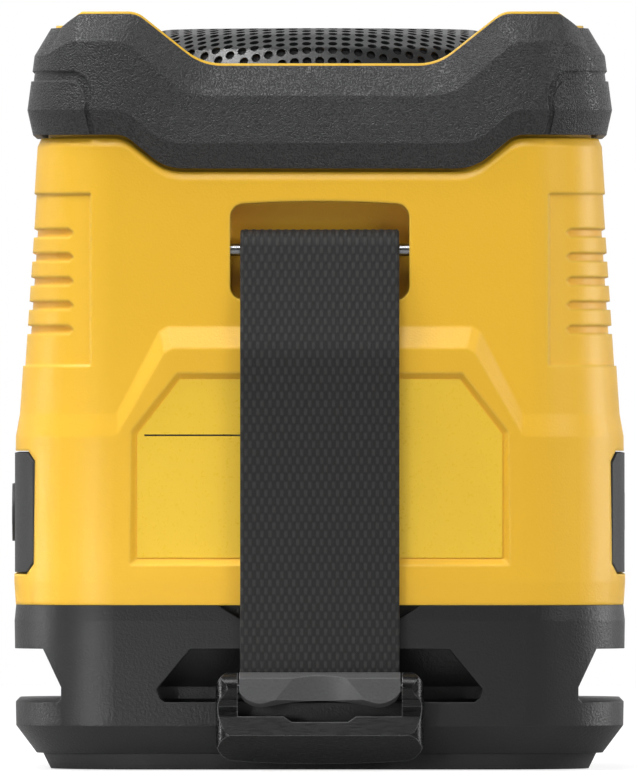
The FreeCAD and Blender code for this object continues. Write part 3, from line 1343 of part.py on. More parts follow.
def battery_cradle():
    """Tray with end walls, cell seats and the pillars that carry the main board."""
    floor = BASE_FLOOR_Z + CRADLE_SEAT_GAP
    inside_x, inside_y = CRADLE_HALF_X - CRADLE_WALL, CRADLE_HALF_Y - CRADLE_WALL
    tray = box((-CRADLE_HALF_X, CRADLE_HALF_X), (-CRADLE_HALF_Y, CRADLE_HALF_Y),
               (floor, floor + CRADLE_WALL_H))
    tray = tray.cut(box((-inside_x, inside_x), (-inside_y, inside_y),
                        (floor + CRADLE_FLOOR, floor + CRADLE_WALL_H + 1)))
    seats = []
    for x in CRADLE_SEATS:
        bar = box((x - CRADLE_SEAT_HALF, x + CRADLE_SEAT_HALF), (-inside_y, inside_y),
                  (floor, floor + CRADLE_SEAT_H))
        seats.append(bar.cut([rod(CELL_R + CELL_FIT, V(x - 2, y, cell_z()), X_AXIS, 4)
                              for y in cell_places()]))
    pillars = [hexagon(CRADLE_PILLAR_R, x, y, floor, CRADLE_PILLAR_TOP)
               for x, y in pillar_places()]
    tray = tray.fuse(seats + pillars)
    holes = [hexagon(BOARD_SCREW_R, x, y, CRADLE_PILLAR_TOP - BOARD_SCREW_LENGTH,
                     CRADLE_PILLAR_TOP + 1) for x, y in pillar_places()]
    posts = [hexagon(POST_R + POST_CLEARANCE, x, y, floor - 1, SEAM)
             for x, y in case_screw_places()]
    return tray.cut(holes + posts)


def main_board():
    low = CRADLE_PILLAR_TOP
    board = box((-MAIN_BOARD_HALF_X, MAIN_BOARD_HALF_X), (-MAIN_BOARD_HALF_Y, MAIN_BOARD_HALF_Y),
                (low, low + BOARD_THICK))
    holes = [hexagon(BOARD_SCREW_R + BOARD_SCREW_FIT, x, y, low - 1, low + 3)
             for x, y in pillar_places()]
    clear = [hexagon(BOSS_R + POST_CLEARANCE, x, y, low - 1, low + 3)
             for x, y in case_screw_places()]
    return board.cut(holes + clear)


def board_parts():
    """Chips, connectors and upright capacitors on the main board."""
    top = CRADLE_PILLAR_TOP + BOARD_THICK
    chips = [box((x - a, x + a), (y - b, y + b), (top, top + h)) for x, y, a, b, h in BOARD_CHIPS]
    cans = [rod(CAPACITOR_R, V(x, CAPACITOR_Y, top), Z_AXIS, CAPACITOR_H) for x in CAPACITOR_X]
    return group(chips + cans)


def board_screws():
    """Small hexagon-head screws of the main board."""
    top = CRADLE_PILLAR_TOP + BOARD_THICK
    screws = []
    for x, y in pillar_places():
        head = hexagon(BOARD_SCREW_HEAD_R, x, y, top, top + BOARD_SCREW_HEAD_H)
        shank = hexagon(BOARD_SCREW_R, x, y, top - BOARD_SCREW_LENGTH, top)
        screws.append(head.fuse(shank))
    return group(screws)


def build():
    """Write every sub-part."""
    save("housing_shell", housing_shell())
    save("top_bumper", bumper_with_grooves())
    save("grille", grille())
    save("base_shell", base_shell())
    save("base_seal", base_seal())
    save("foot_pad", foot_pad())
    save("case_screws", case_screws())
    save("strap_pin", strap_pin())
    save("strap_webbing", strap_webbing())
    save("strap_end", strap_end())
    save("latch_pin", latch_pin())
    save("latch_frame", latch_frame())
    save("rating_label", rating_label())
    save("key_pad", side_pad())
    for name, y in key_places():
        save(name, key(y))
    save("status_light", status_light())
    save("button_board", button_board())
    save("tact_switches", tact_switches())
    save("port_pad", port_pad())
    save("port_cover", port_cover())
    save("usb_socket", usb_socket())
    save("usb_tongue", usb_tongue())
    save("charge_board", charge_board())
    save("driver_basket", driver_basket())
    save("driver_screws", driver_screws())
    save("driver_top_plate", top_plate())
    save("driver_magnet", driver_magnet())
    save("driver_yoke", driver_yoke())
    save("coil_former", coil_former())
    save("voice_coil", voice_coil())
    save("driver_cone", driver_cone())
    save("dust_cap", dust_cap())
    save("driver_surround", driver_surround())
    save("driver_spider", driver_spider())
    save("battery_cells", battery_cells())
    save("battery_cradle", battery_cradle())
    save("main_board", main_board())
    save("board_parts", board_parts())
    save("board_screws", board_screws())


build()
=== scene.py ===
import math

import bpy
import numpy as np
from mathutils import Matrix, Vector


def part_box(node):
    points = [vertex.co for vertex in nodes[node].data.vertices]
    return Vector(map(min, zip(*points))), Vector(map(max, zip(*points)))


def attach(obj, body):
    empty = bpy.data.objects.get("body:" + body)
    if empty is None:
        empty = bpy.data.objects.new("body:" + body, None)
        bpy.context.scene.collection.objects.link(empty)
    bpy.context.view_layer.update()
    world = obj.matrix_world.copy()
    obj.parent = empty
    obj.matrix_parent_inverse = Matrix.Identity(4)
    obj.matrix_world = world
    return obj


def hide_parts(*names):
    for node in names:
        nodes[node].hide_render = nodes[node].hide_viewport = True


# Looks of a small jobsite speaker, built round its CAD frame. Metres in Blender, millimetres in
# the shape functions. +Z is up, the strap is on the -Y side and the keys are on the -X side.

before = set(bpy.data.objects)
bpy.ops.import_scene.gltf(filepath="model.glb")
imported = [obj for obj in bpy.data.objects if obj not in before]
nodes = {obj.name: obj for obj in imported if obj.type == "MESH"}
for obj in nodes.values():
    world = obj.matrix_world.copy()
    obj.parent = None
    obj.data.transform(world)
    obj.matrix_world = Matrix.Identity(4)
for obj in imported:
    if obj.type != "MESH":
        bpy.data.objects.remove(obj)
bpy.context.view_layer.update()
MM = 0.001

# Camera, from the photograph: its frame holds 124.7 mm of height at the body's corners, which
# stand 33 mm nearer than the middle, and its axis is level, 60.7 mm above the floor.
CAMERA_DISTANCE = 4400.0
CAMERA_PLACE = (-0.2, 60.7)
VIEW_HEIGHT = 124.7
CORNER_PLANE = 33.0
SENSOR = 36.0

# Size of the patches over which a moulding's tone drifts, and the lean that still counts as flat.
PATCH = 25.0
FLAT = 0.995

# Perforated grille: holes on a square grid in the flat sheet, then drawn into a dome. The dome is
# a line of radius and drop, whose corners are averaged over the bend's length in small steps.
HOLE_PITCH = 2.13
HOLE_R = 0.77
ROW_SHIFT = 0.6
HOLE_SIDES = 12
SHEET_THICK = 0.5
DOME = ((0, 0), (24.8, 0), (29.6, 1.06), (34.7, 3.3), (37.8, 8.16), (39.7, 8.16))
DOME_BEND = 0.7
PROFILE_STEP = 0.02
HOLES_END = 38.4

# Cloth behind the holes: how far it reaches along the sheet, its gap and its own thickness.
CLOTH_END = 41.0
CLOTH_GAP = 0.05
CLOTH_THICK = 0.2
CLOTH_SIDES = 96
CLOTH_STEP = 1.0

# Webbing: 40 warp ends across 25.4 mm, which float 1.3 mm over the weft in turn. Each end is a
# round ridge that keeps a share of its height where it dives. The tail starts at a height, runs
# straight, bends and goes round the pin's eye through a turn in degrees. The middle line lies a
# depth behind the outer face. It is blurred over a few points, but for the eye and a clear run
# after it.
STRAP_WIDTH = 25.4
STRAP_THICK = 1.9
WARP_ENDS = 40
FLOAT = 1.3
END_POINTS = 4
FLOAT_POINTS = 4
RELIEF = 0.1
RIDGE_ROUND = 3.2
DIVE_SHARE = 0.35
STRAP_KNEE = 66.6
STRAP_EDGE = 0.3
EDGE_POINTS = 5
EDGE_FULLNESS = 0.4
TAIL_Z = 76.8
TAIL_BEND = 2.4
EYE_R = 2.35
EYE_TURN = 217.0
EYE_POINTS = 40
TAIL_GAP = 0.1
LIE_DEPTH = 1.0
BLUR = 9
EYE_CLEAR = 4.0

# Plain rule on the label: its height, half its thickness, its middle and half its width.
RULE_Z = 53.4
RULE_HALF_THICK = 0.14
RULE_MIDDLE = -8.0
RULE_HALF_WIDTH = 20.0

# Symbols on the keys.
SYMBOL_R = 1.7
STROKE = 0.45
INK_THICK = 0.06

# Floor, a hair below the object so that the two don't share a face.
FLOOR_HALF = 1.2
FLOOR_Z = -0.0002


def linear(colour):
    """sRGB hex to linear red, green, blue and alpha."""
    share = np.array([int(colour[i:i + 2], 16) for i in (1, 3, 5)]) / 255
    curve = np.where(share <= 0.04045, share / 12.92, ((share + 0.055) / 1.055) ** 2.4)
    return (*curve.tolist(), 1.0)


def add(tree, kind, inputs=None, **settings):
    """Adds one shader node, with its settings and its input values or links."""
    made = tree.nodes.new("ShaderNode" + kind)
    for key, value in settings.items():
        setattr(made, key, value)
    for key, value in (inputs or {}).items():
        if isinstance(value, bpy.types.NodeSocket):
            tree.links.new(value, made.inputs[key])
        else:
            made.inputs[key].default_value = value
    return made


def calc(tree, operation, *values):
    """Output of one math node, from its values or links in order."""
    return add(tree, "Math", dict(enumerate(values)), operation=operation).outputs[0]


def start(name, **sockets):
    """New material, its tree, its shader and its object coordinates in millimetres."""
    made = bpy.data.materials.new(name)
    made.use_nodes = True
    tree = made.node_tree
    shader = tree.nodes["Principled BSDF"]
    for key, value in sockets.items():
        shader.inputs[key.replace("_", " ")].default_value = value
    place = add(tree, "TexCoord").outputs["Object"]
    place = add(tree, "VectorMath", {0: place, "Scale": 1 / MM}, operation="SCALE").outputs[0]
    return made, tree, shader, place


def two_tones(tree, shader, share, dark, light):
    """Base colour that goes from the dark to the light tone with the share."""
    tone = add(tree, "Mix", {0: share, 6: linear(dark), 7: linear(light)}, data_type="RGBA")
    tree.links.new(tone.outputs[2], shader.inputs["Base Color"])
    return tone.outputs[2]


def relief(tree, shader, height, depth, edge):
    """Bump of a depth in millimetres over edges rounded by a radius in millimetres."""
    soft = add(tree, "Bevel", {"Radius": edge * MM}, samples=6).outputs[0]
    bump = add(tree, "Bump", {"Strength": 1.0, "Distance": depth * MM, "Height": height,
                              "Normal": soft})
    tree.links.new(bump.outputs[0], shader.inputs["Normal"])
    return soft


def paint_highlit_edges(tree, shader, soft, tone, colour, low):
    """Edges painted a paler colour as a painted highlight, from how far the rounded normal leans
    off
    the face: not at all above FLAT, and fully at the low value of the two normals' dot product."""
    face = add(tree, "NewGeometry").outputs["Normal"]
    lean = add(tree, "VectorMath", {0: soft, 1: face}, operation="DOT_PRODUCT").outputs["Value"]
    share = add(tree, "MapRange", {0: lean, 1: FLAT, 2: low, 3: 0.0, 4: 1.0}).outputs[0]
    # Painted highlight: the paler colour laid on edges where the rounded normal leans.
    highlit_tone = add(tree, "Mix", {0: share, 6: tone, 7: linear(colour)}, data_type="RGBA")
    tree.links.new(highlit_tone.outputs[2], shader.inputs["Base Color"])


def gloss(tree, shader, share, first, last, low=0.3, high=0.7):
    """Roughness that goes from a first to a last value as the share goes from low to high."""
    uneven = add(tree, "MapRange", {0: share, 1: low, 2: high, 3: first, 4: last})
    tree.links.new(uneven.outputs[0], shader.inputs["Roughness"])


def moulded(name, dark, light, roughness, grain, depth, edge, **sockets):
    """Moulding in two close tones, with a grain, uneven gloss and rounded edges, in mm."""
    made, tree, shader, place = start(name, **sockets)
    patches = add(tree, "TexNoise", {"Vector": place, "Scale": 1 / PATCH, "Detail": 3.0})
    fine = add(tree, "TexNoise", {"Vector": place, "Scale": 1 / grain, "Detail": 3.0,
                                  "Roughness": 0.6})
    two_tones(tree, shader, patches.outputs["Fac"], dark, light)
    gloss(tree, shader, fine.outputs["Fac"], roughness - 0.06, roughness + 0.06)
    relief(tree, shader, fine.outputs["Fac"], depth, edge)
    return made


def yellow_abs():
    """ABS moulded in a spark-eroded tool: an even satin yellow, its edges painted paler as a
    highlight.
    """
    made, tree, shader, place = start("yellow_abs_moulded", IOR=1.53)
    patches = add(tree, "TexNoise", {"Vector": place, "Scale": 1 / 30, "Detail": 2.0})
    fine = add(tree, "TexNoise", {"Vector": place, "Scale": 1 / 0.35, "Detail": 4.0})
    soft = relief(tree, shader, fine.outputs["Fac"], 0.03, 0.7)
    tone = two_tones(tree, shader, patches.outputs["Fac"], "#F0B927", "#F4BF2C")
    # Edges painted paler: a painted highlight along the bevels.
    paint_highlit_edges(tree, shader, soft, tone, "#F8CB46", 0.86)
    gloss(tree, shader, fine.outputs["Fac"], 0.36, 0.46)
    return made


def grained_rubber():
    """Soft rubber moulded over the shell with a fine leather grain: bumps about 0.25 mm wide
    whose tops catch the light."""
    made, tree, shader, place = start("rubber_leather_grained", IOR=1.52)
    grain = add(tree, "TexNoise", {"Vector": place, "Scale": 1 / 0.28, "Detail": 1.0,
                                   "Roughness": 0.7})
    height = add(tree, "MapRange", {0: grain.outputs["Fac"], 1: 0.36, 2: 0.62})
    soft = relief(tree, shader, height.outputs[0], 0.08, 0.3)
    tone = two_tones(tree, shader, height.outputs[0], "#111112", "#333334")
    # Edges painted paler: a painted glint along the bevels.
    paint_highlit_edges(tree, shader, soft, tone, "#464647", 0.8)
    gloss(tree, shader, height.outputs[0], 0.55, 0.28, 0.0, 1.0)
    return made


def base_nylon():
    """Glass-filled nylon, moulded: near black, satin, with a faint cloudy gloss."""
    return moulded("nylon_glass_filled_moulded", "#0D0D0E", "#19191A", 0.4, 0.4, 0.08, 0.3,
                   IOR=1.53)


def foot_rubber():
    """Compression-moulded rubber: dull, dark and finely pitted."""
    return moulded("rubber_foot_moulded", "#303031", "#3C3C3D", 0.6, 0.5, 0.06, 0.4)


def coated_steel():
    """Perforated steel, powder coated: dark grey with a very fine orange peel."""
    return moulded("steel_powder_coated", "#1C1D1E", "#252627", 0.34, 0.3, 0.03, 0.08,
                   IOR=1.5)


def webbing():
    """Woven polyester: grey warp floats in staggered columns over a darker weft, with a sheen."""
    made, tree, shader, _ = start("polyester_webbing_woven", IOR=1.55, Roughness=0.72,
                                  Sheen_Weight=0.08, Sheen_Roughness=0.4)
    lie = add(tree, "UVMap", uv_map="cloth").outputs[0]
    parts = add(tree, "SeparateXYZ", {0: lie}).outputs
    column = calc(tree, "MULTIPLY", parts[0], WARP_ENDS / STRAP_WIDTH)
    turn = calc(tree, "MULTIPLY", calc(tree, "FLOOR", column), math.pi)
    along = calc(tree, "MULTIPLY_ADD", parts[1], math.pi / FLOAT, turn)
    float_share = add(tree, "MapRange", {0: calc(tree, "COSINE", along), 1: -0.1, 2: 0.7})
    away = calc(tree, "ABSOLUTE", calc(tree, "SUBTRACT", calc(tree, "FRACT", column), 0.5))
    crown = add(tree, "MapRange", {0: away, 1: 0.5, 2: 0.32})
    raised = calc(tree, "MULTIPLY", float_share.outputs[0], crown.outputs[0])
    stretch = add(tree, "Mapping", {"Vector": lie, "Scale": (9.0, 1.2, 1.0)})
    fibre = add(tree, "TexNoise", {"Vector": stretch.outputs[0], "Scale": 1.0, "Detail": 3.0})
    uneven = calc(tree, "MULTIPLY", raised, fibre.outputs["Fac"])
    two_tones(tree, shader, calc(tree, "MULTIPLY", uneven, 1.7), "#070707", "#2A2A29")
    bump = add(tree, "Bump", {"Strength": 1.0, "Distance": 0.05 * MM, "Height": uneven})
    tree.links.new(bump.outputs[0], shader.inputs["Normal"])
    return made


def drawn_steel(name, dark, light, roughness):
    """Drawn and plated steel: bright, with faint lines that run along the bar."""
    made, tree, shader, place = start(name, Metallic=1.0)
    lines = add(tree, "Mapping", {"Vector": place, "Scale": (0.08, 1.0, 1.0)})
    draw = add(tree, "TexNoise", {"Vector": lines.outputs[0], "Scale": 1 / 0.2, "Detail": 4.0})
    two_tones(tree, shader, draw.outputs["Fac"], dark, light)
    gloss(tree, shader, draw.outputs["Fac"], roughness - 0.08, roughness + 0.1)
    relief(tree, shader, draw.outputs["Fac"], 0.01, 0.1)
    return made


def fine_acetal(name, dark, light, highlight_colour, roughness, shine, streak, depth):
    """Acetal with a fine texture drawn out sideways, and edges painted paler as a painted
    highlight.
    """
    made, tree, shader, place = start(name, IOR=1.48, Specular_IOR_Level=shine)
    drawn = add(tree, "Mapping", {"Vector": place, "Scale": (1 / streak, 1.0, 1.0)})
    grain = add(tree, "TexNoise", {"Vector": drawn.outputs[0], "Scale": 1 / 0.3, "Detail": 3.0})
    soft = relief(tree, shader, grain.outputs["Fac"], depth, 0.25)
    tone = two_tones(tree, shader, grain.outputs["Fac"], dark, light)
    # Edges painted paler: a painted highlight along the bevels.
    paint_highlit_edges(tree, shader, soft, tone, highlight_colour, 0.85)
    gloss(tree, shader, grain.outputs["Fac"], roughness - 0.06, roughness + 0.06)
    return made


def latch_acetal():
    """Acetal moulded in a tool brushed sideways: near black, half gloss, with a painted pale
    highlight on its edges.
    """
    return fine_acetal("acetal_moulded_brushed", "#0A0A0B", "#131314", "#7A7A7B", 0.28,
                       0.35, 8.0, 0.004)


def tongue_acetal():
    """Acetal with a light spark-eroded texture: mid grey, satin and grainy under the thumb."""
    return fine_acetal("acetal_moulded_satin", "#3C3C3D", "#525253", "#6E6E6F", 0.42,
                       0.5, 1.5, 0.02)


def label_film():
    """Polyester film, screen printed: a smooth clear yellow with one plain dark rule."""
    made, tree, shader, place = start("polyester_film_printed", IOR=1.57)
    patches = add(tree, "TexNoise", {"Vector": place, "Scale": 1 / 18, "Detail": 2.0})
    tone = two_tones(tree, shader, patches.outputs["Fac"], "#F3C735", "#F7CE3B")
    parts = add(tree, "SeparateXYZ", {0: place})
    inside = []
    for axis, middle, half in ((2, RULE_Z, RULE_HALF_THICK), (0, RULE_MIDDLE, RULE_HALF_WIDTH)):
        away = calc(tree, "ABSOLUTE", calc(tree, "SUBTRACT", parts.outputs[axis], middle))
        inside.append(calc(tree, "LESS_THAN", away, half))
    ink = calc(tree, "MULTIPLY", *inside)
    printed = add(tree, "Mix", {0: ink, 6: tone, 7: linear("#2A2416")}, data_type="RGBA")
    tree.links.new(printed.outputs[2], shader.inputs["Base Color"])
    fine = add(tree, "TexNoise", {"Vector": place, "Scale": 1 / 0.5, "Detail": 2.0})
    gloss(tree, shader, fine.outputs["Fac"], 0.26, 0.34)
    relief(tree, shader, patches.outputs["Fac"], 0.05, 0.1)
    return made


def pad_rubber():
    """Silicone rubber, moulded: smooth, dark and slightly dusty."""
    return moulded("silicone_rubber_moulded", "#202021", "#29292A", 0.5, 0.35, 0.03, 0.35)


def key_rubber():
    """Silicone rubber with a matt lacquer on the key caps."""
    return moulded("silicone_rubber_lacquered", "#303031", "#3A3A3B", 0.5, 0.3, 0.02, 0.5)


def symbol_ink():
    """Pad-printed ink: a thin, even pale grey."""
    return moulded("ink_pad_printed", "#BDBEC0", "#CBCCCE", 0.5, 0.3, 0.01, 0.05)


def light_pipe():
    """Polished clear polycarbonate, dark until it is lit."""
    return moulded("polycarbonate_clear_moulded", "#B9C0C6", "#CBD2D8", 0.12, 1.0, 0.01, 0.15,
                   IOR=1.585, Transmission_Weight=0.85)


def solder_mask():
    """Green solder mask on a glass-cloth board: glossy, with tracks just under the green."""
    made, tree, shader, place = start("board_solder_masked", IOR=1.55, Roughness=0.28)
    tracks = add(tree, "TexBrick", {"Vector": place, "Scale": 1 / 3.0, "Mortar Size": 0.06,
                                    "Color1": (1, 1, 1, 1), "Color2": (0.8, 0.8, 0.8, 1),
                                    "Mortar": (0, 0, 0, 1)})
    two_tones(tree, shader, tracks.outputs["Color"], "#2A6B3C", "#17492A")
    relief(tree, shader, tracks.outputs["Fac"], 0.03, 0.1)
    return made


def component_epoxy():
    """Transfer-moulded epoxy: matt black, finely sanded look."""
    return moulded("epoxy_moulded", "#1C1C1D", "#262627", 0.6, 0.2, 0.02, 0.1)


def basket_steel():
    """Pressed steel with black electrocoat: smooth and half gloss."""
    return moulded("steel_electrocoated", "#161617", "#1E1E1F", 0.35, 0.6, 0.015, 0.3)


def plain_weave(name, thread, dark, light, roughness):
    """Cloth, plain woven: two sets of threads, one thread's spacing in mm apart, cross."""
    made, tree, shader, place = start(name, Roughness=roughness)
    warp, weft = (add(tree, "TexWave", {"Vector": place, "Scale": 1 / (2 * thread)},
                      bands_direction=way) for way in "XY")
    cloth = calc(tree, "MULTIPLY", warp.outputs["Fac"], weft.outputs["Fac"])
    two_tones(tree, shader, cloth, dark, light)
    relief(tree, shader, cloth, 0.08, 0.1)
    return made


def lining_cloth():
    """Black polyester cloth, plain woven: threads 0.5 mm apart both ways, dull and deep."""
    return plain_weave("polyester_cloth_woven", 0.5, "#0C0C0D", "#171718", 0.9)


def seal_foam():
    """Closed-cell foam: dull and full of small cells."""
    return moulded("foam_closed_cell", "#1A1A1B", "#242425", 0.9, 0.4, 0.15, 0.3)


def ferrite():
    """Sintered ferrite: dark grey, ceramic and slightly rough."""
    return moulded("ferrite_sintered", "#2B2C2E", "#38393B", 0.62, 0.4, 0.04, 0.3)


def coil_wire():
    """Enamelled copper, wound: fine turns 0.2 mm apart up the coil."""
    made, tree, shader, place = start("copper_enamelled_wound", Metallic=1.0, Roughness=0.3)
    turns = add(tree, "TexWave", {"Vector": place, "Scale": 1 / (2 * 0.2)}, bands_direction="Z")
    two_tones(tree, shader, turns.outputs["Fac"], "#7A3A1C", "#C4713F")
    relief(tree, shader, turns.outputs["Fac"], 0.05, 0.05)
    return made


def cone_pulp():
    """Pressed paper pulp, dyed black: matt, with short fibres."""
    made, tree, shader, place = start("paper_pulp_pressed", Roughness=0.85)
    fibres = add(tree, "TexNoise", {"Vector": place, "Scale": 1 / 0.8, "Detail": 6.0,
                                    "Distortion": 1.5})
    two_tones(tree, shader, fibres.outputs["Fac"], "#19191A", "#303031")
    relief(tree, shader, fibres.outputs["Fac"], 0.08, 0.2)
    return made


def treated_cloth():
    """Resin-treated cotton, plain woven: amber threads 0.4 mm apart both ways."""
    return plain_weave("cotton_resin_treated", 0.4, "#6E4A1E", "#B98A48", 0.7)


def cell_film():
    """Heat-shrunk film on the cells: smooth and glossy blue."""
    return moulded("film_heat_shrunk", "#2E5E9E", "#3568AA", 0.22, 2.0, 0.02, 0.3)


def dress(finish, *names):
    """Gives CAD nodes a material."""
    for name in names:
        slot = nodes[name].material_slots[0]
        slot.link = "OBJECT"
        slot.material = finish


def grid_faces(rows, columns, close=False):
    """Quads of a grid numbered row by row; close joins the last column to the first."""
    i = np.arange(rows - 1)[:, None]
    j = np.arange(columns if close else columns - 1)[None, :]
    right = (j + 1) % columns
    corners = (i * columns + j, i * columns + right, (i + 1) * columns + right,
               (i + 1) * columns + j)
    return np.stack(np.broadcast_arrays(*corners), -1).reshape(-1, 4)


def outward(points, faces):
    """Faces turned so that the closed form's signed volume is above zero."""
    fan = np.vstack([face[:, [0, k, k + 1]] for face in faces for k in range(1, face.shape[1] - 1)])
    a, b, c = (points[fan[:, k]] for k in range(3))
    volume = np.einsum("ij,ij->i", a, np.cross(b, c)).sum()
    return faces if volume > 0 else [face[:, ::-1] for face in faces]


def piece(name, points, faces, finish, body, sharp=40.0):
    """Object of one mesh, from points in millimetres and arrays of faces, riding on a body."""
    mesh = bpy.data.meshes.new(name)
    mesh.from_pydata((points * MM).tolist(), [], [f for block in faces for f in block.tolist()])
    mesh.update()
    mesh.shade_smooth()
    mesh.set_sharp_from_angle(angle=math.radians(sharp))
    made = bpy.data.objects.new(name, mesh)
    bpy.context.scene.collection.objects.link(made)
    mesh.materials.append(finish)
    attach(made, body)
    return made


def dome_profile(top):
    """Radius and height by distance along the sheet: straight runs whose corners are averaged
    over the bend's length."""
    corners = np.array(DOME, float)
    lengths = np.hypot(*np.diff(corners, axis=0).T)
    ends = np.concatenate([[0], np.cumsum(lengths)])
    fine = np.arange(-2 * DOME_BEND, ends[-1] + 2 * DOME_BEND, PROFILE_STEP)
    window = int(DOME_BEND / PROFILE_STEP)
    kernel = np.ones(window) / window
    radius = np.convolve(np.interp(fine, ends, corners[:, 0]), kernel, "same")
    drop = np.convolve(np.interp(fine, ends, corners[:, 1]), kernel, "same")
    keep = (fine >= 0) & (fine <= ends[-1])
    return fine[keep], np.maximum(radius[keep] - radius[keep][0], 0), top - drop[keep]


def perforated_sheet():
    """Flat cells, each a square round a hole, then bent: a point at distance s from the centre
    goes to the profile's radius and height at s, and the under face lies one thickness in."""
    s_line, r_line, z_line = dome_profile(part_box("grille")[1].z / MM)
    count = int(s_line[-1] / HOLE_PITCH) + 1
    index = np.arange(-count, count + 1) * HOLE_PITCH
    centres = np.stack(np.meshgrid(index, index + ROW_SHIFT), -1).reshape(-1, 2)
    step = np.arange(HOLE_SIDES) / HOLE_SIDES * 2 * math.pi + math.pi / 4
    ring = np.stack([np.cos(step), np.sin(step)], -1)
    square = ring / np.abs(ring).max(axis=1, keepdims=True) * HOLE_PITCH / 2
    third = HOLE_PITCH / 6
    square = np.where(np.abs(np.abs(square) - HOLE_PITCH / 2) < 1e-6, square,
                      np.sign(square) * third)
    holed = np.hypot(*centres.T) < HOLES_END
    inside = np.hypot(*(np.abs(centres) - HOLE_PITCH / 2).clip(0).T) < s_line[-1]
    rim = (centres[inside][:, None] + square).reshape(-1, 2)
    hole = (centres[inside & holed][:, None] + ring * HOLE_R).reshape(-1, 2)
    corners, same = np.unique(np.round(rim, 4), axis=0, return_inverse=True)
    cell = same.reshape(-1, HOLE_SIDES)
    flat = np.vstack([corners, hole])
    has_hole = holed[inside]
    inner = len(corners) + np.arange(len(hole)).reshape(-1, HOLE_SIDES)
    outer = cell[has_hole]
    top = [np.stack([outer, np.roll(outer, -1, 1), np.roll(inner, -1, 1), inner], -1)
           .reshape(-1, 4), cell[~has_hole]]
    reach = np.hypot(*flat.T)
    s = np.minimum(reach, s_line[-1])
    way = flat / np.maximum(reach, 1e-9)[:, None]
    radius, height = np.interp(s, s_line, r_line), np.interp(s, s_line, z_line)
    slope_r = np.interp(s, s_line, np.gradient(r_line, s_line))
    slope_z = np.interp(s, s_line, np.gradient(z_line, s_line))
    upper = np.column_stack([way * radius[:, None], height])
    under = upper - SHEET_THICK * np.column_stack([way * -slope_z[:, None], slope_r])
    points = np.vstack([upper, under])
    total = len(flat)
    below = [block[:, ::-1] + total for block in top]
    wall = np.stack([inner, np.roll(inner, -1, 1), np.roll(inner, -1, 1) + total,
                     inner + total], -1).reshape(-1, 4)
    edges = np.vstack([np.stack([block, np.roll(block, -1, 1)], -1).reshape(-1, 2)
                       for block in top])
    _, at, times = np.unique(np.sort(edges, axis=1), axis=0, return_index=True,
                             return_counts=True)
    single = edges[at[times == 1]]
    single = single[(single < len(corners)).all(axis=1)]
    border = np.column_stack([single[:, 1], single[:, 0], single[:, 0] + total,
                              single[:, 1] + total])
    faces = outward(points, [*top, *below, wall, border])
    made = piece("grille_sheet", points, faces, coated_steel(), "body")
    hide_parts("grille")
    return made


def grille_cloth(sheet):
    """Lining behind the holes: the sheet's profile moved inwards and turned about the vertical
    axis, with both faces closed by a point on the axis and joined round the edge."""
    s_line, r_line, z_line = dome_profile(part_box("grille")[1].z / MM)
    s = np.arange(CLOTH_STEP, CLOTH_END, CLOTH_STEP)
    radius, height = np.interp(s, s_line, r_line), np.interp(s, s_line, z_line)
    in_r = np.interp(s, s_line, np.gradient(z_line, s_line))
    in_z = -np.interp(s, s_line, np.gradient(r_line, s_line))
    rows = []
    for depth in (SHEET_THICK + CLOTH_GAP, SHEET_THICK + CLOTH_GAP + CLOTH_THICK):
        rows.append(np.column_stack([radius + in_r * depth, height + in_z * depth]))
    profile = np.vstack([rows[0], rows[1][::-1]])
    turn = np.arange(CLOTH_SIDES) / CLOTH_SIDES * 2 * math.pi
    ring = np.stack([profile[:, :1] * np.cos(turn), profile[:, :1] * np.sin(turn),
                     np.broadcast_to(profile[:, 1:], (len(profile), CLOTH_SIDES))],
                    -1).reshape(-1, 3)
    points = np.vstack([ring, [0, 0, profile[0, 1]], [0, 0, profile[-1, 1]]])
    first = np.arange(CLOTH_SIDES)
    last = first + (len(profile) - 1) * CLOTH_SIDES
    top = np.column_stack([np.full(CLOTH_SIDES, len(ring)), np.roll(first, -1), first])
    bottom = np.column_stack([np.full(CLOTH_SIDES, len(ring) + 1), last, np.roll(last, -1)])
    faces = outward(points, [grid_faces(len(profile), CLOTH_SIDES, True), top, bottom])
    made = piece("grille_cloth", points, faces, lining_cloth(), "body", 180.0)
    return made


def strap_line():
    """Middle line of the webbing in the YZ plane: a sewn tail beside the run, round the pin, down
    the run to the knee and straight to the latch, with its corners averaged over 3 mm."""
    pin_low, pin_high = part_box("strap_pin")
    pin = np.array([(pin_low.y + pin_high.y) / 2, (pin_low.z + pin_high.z) / 2]) / MM
    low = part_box("strap_webbing")[0]
    face = low.y / MM + LIE_DEPTH
    knee = np.array([face, STRAP_KNEE])
    reach = knee - pin
    leaving = math.atan2(reach[1], reach[0]) - math.acos(EYE_R / np.hypot(*reach))
    turn = np.linspace(leaving - math.radians(EYE_TURN), leaving, EYE_POINTS)
    eye = pin + EYE_R * np.column_stack([np.cos(turn), np.sin(turn)])
    run = (knee - eye[-1]) / np.hypot(*(knee - eye[-1]))
    beside = eye[-1] + (STRAP_THICK + TAIL_GAP) * np.array([-run[1], run[0]])
    end = beside + run * (TAIL_Z - beside[1]) / run[1]
    line = np.vstack([end, end - run * TAIL_BEND, eye, knee, [face, low.z / MM]])
    gone = np.concatenate([[0], np.cumsum(np.hypot(*np.diff(line, axis=0).T))])
    at = np.arange(0, gone[-1], FLOAT / FLOAT_POINTS)
    fine = np.column_stack([np.interp(at, gone, line[:, k]) for k in (0, 1)])
    bent = (at < gone[2]) | (at > gone[EYE_POINTS + 1] + EYE_CLEAR)
    for k in (0, 1):
        blurred = np.convolve(np.pad(fine[:, k], BLUR // 2, "edge"), np.ones(BLUR) / BLUR,
                              "valid")
        fine[bent, k] = blurred[bent]
    return at, fine


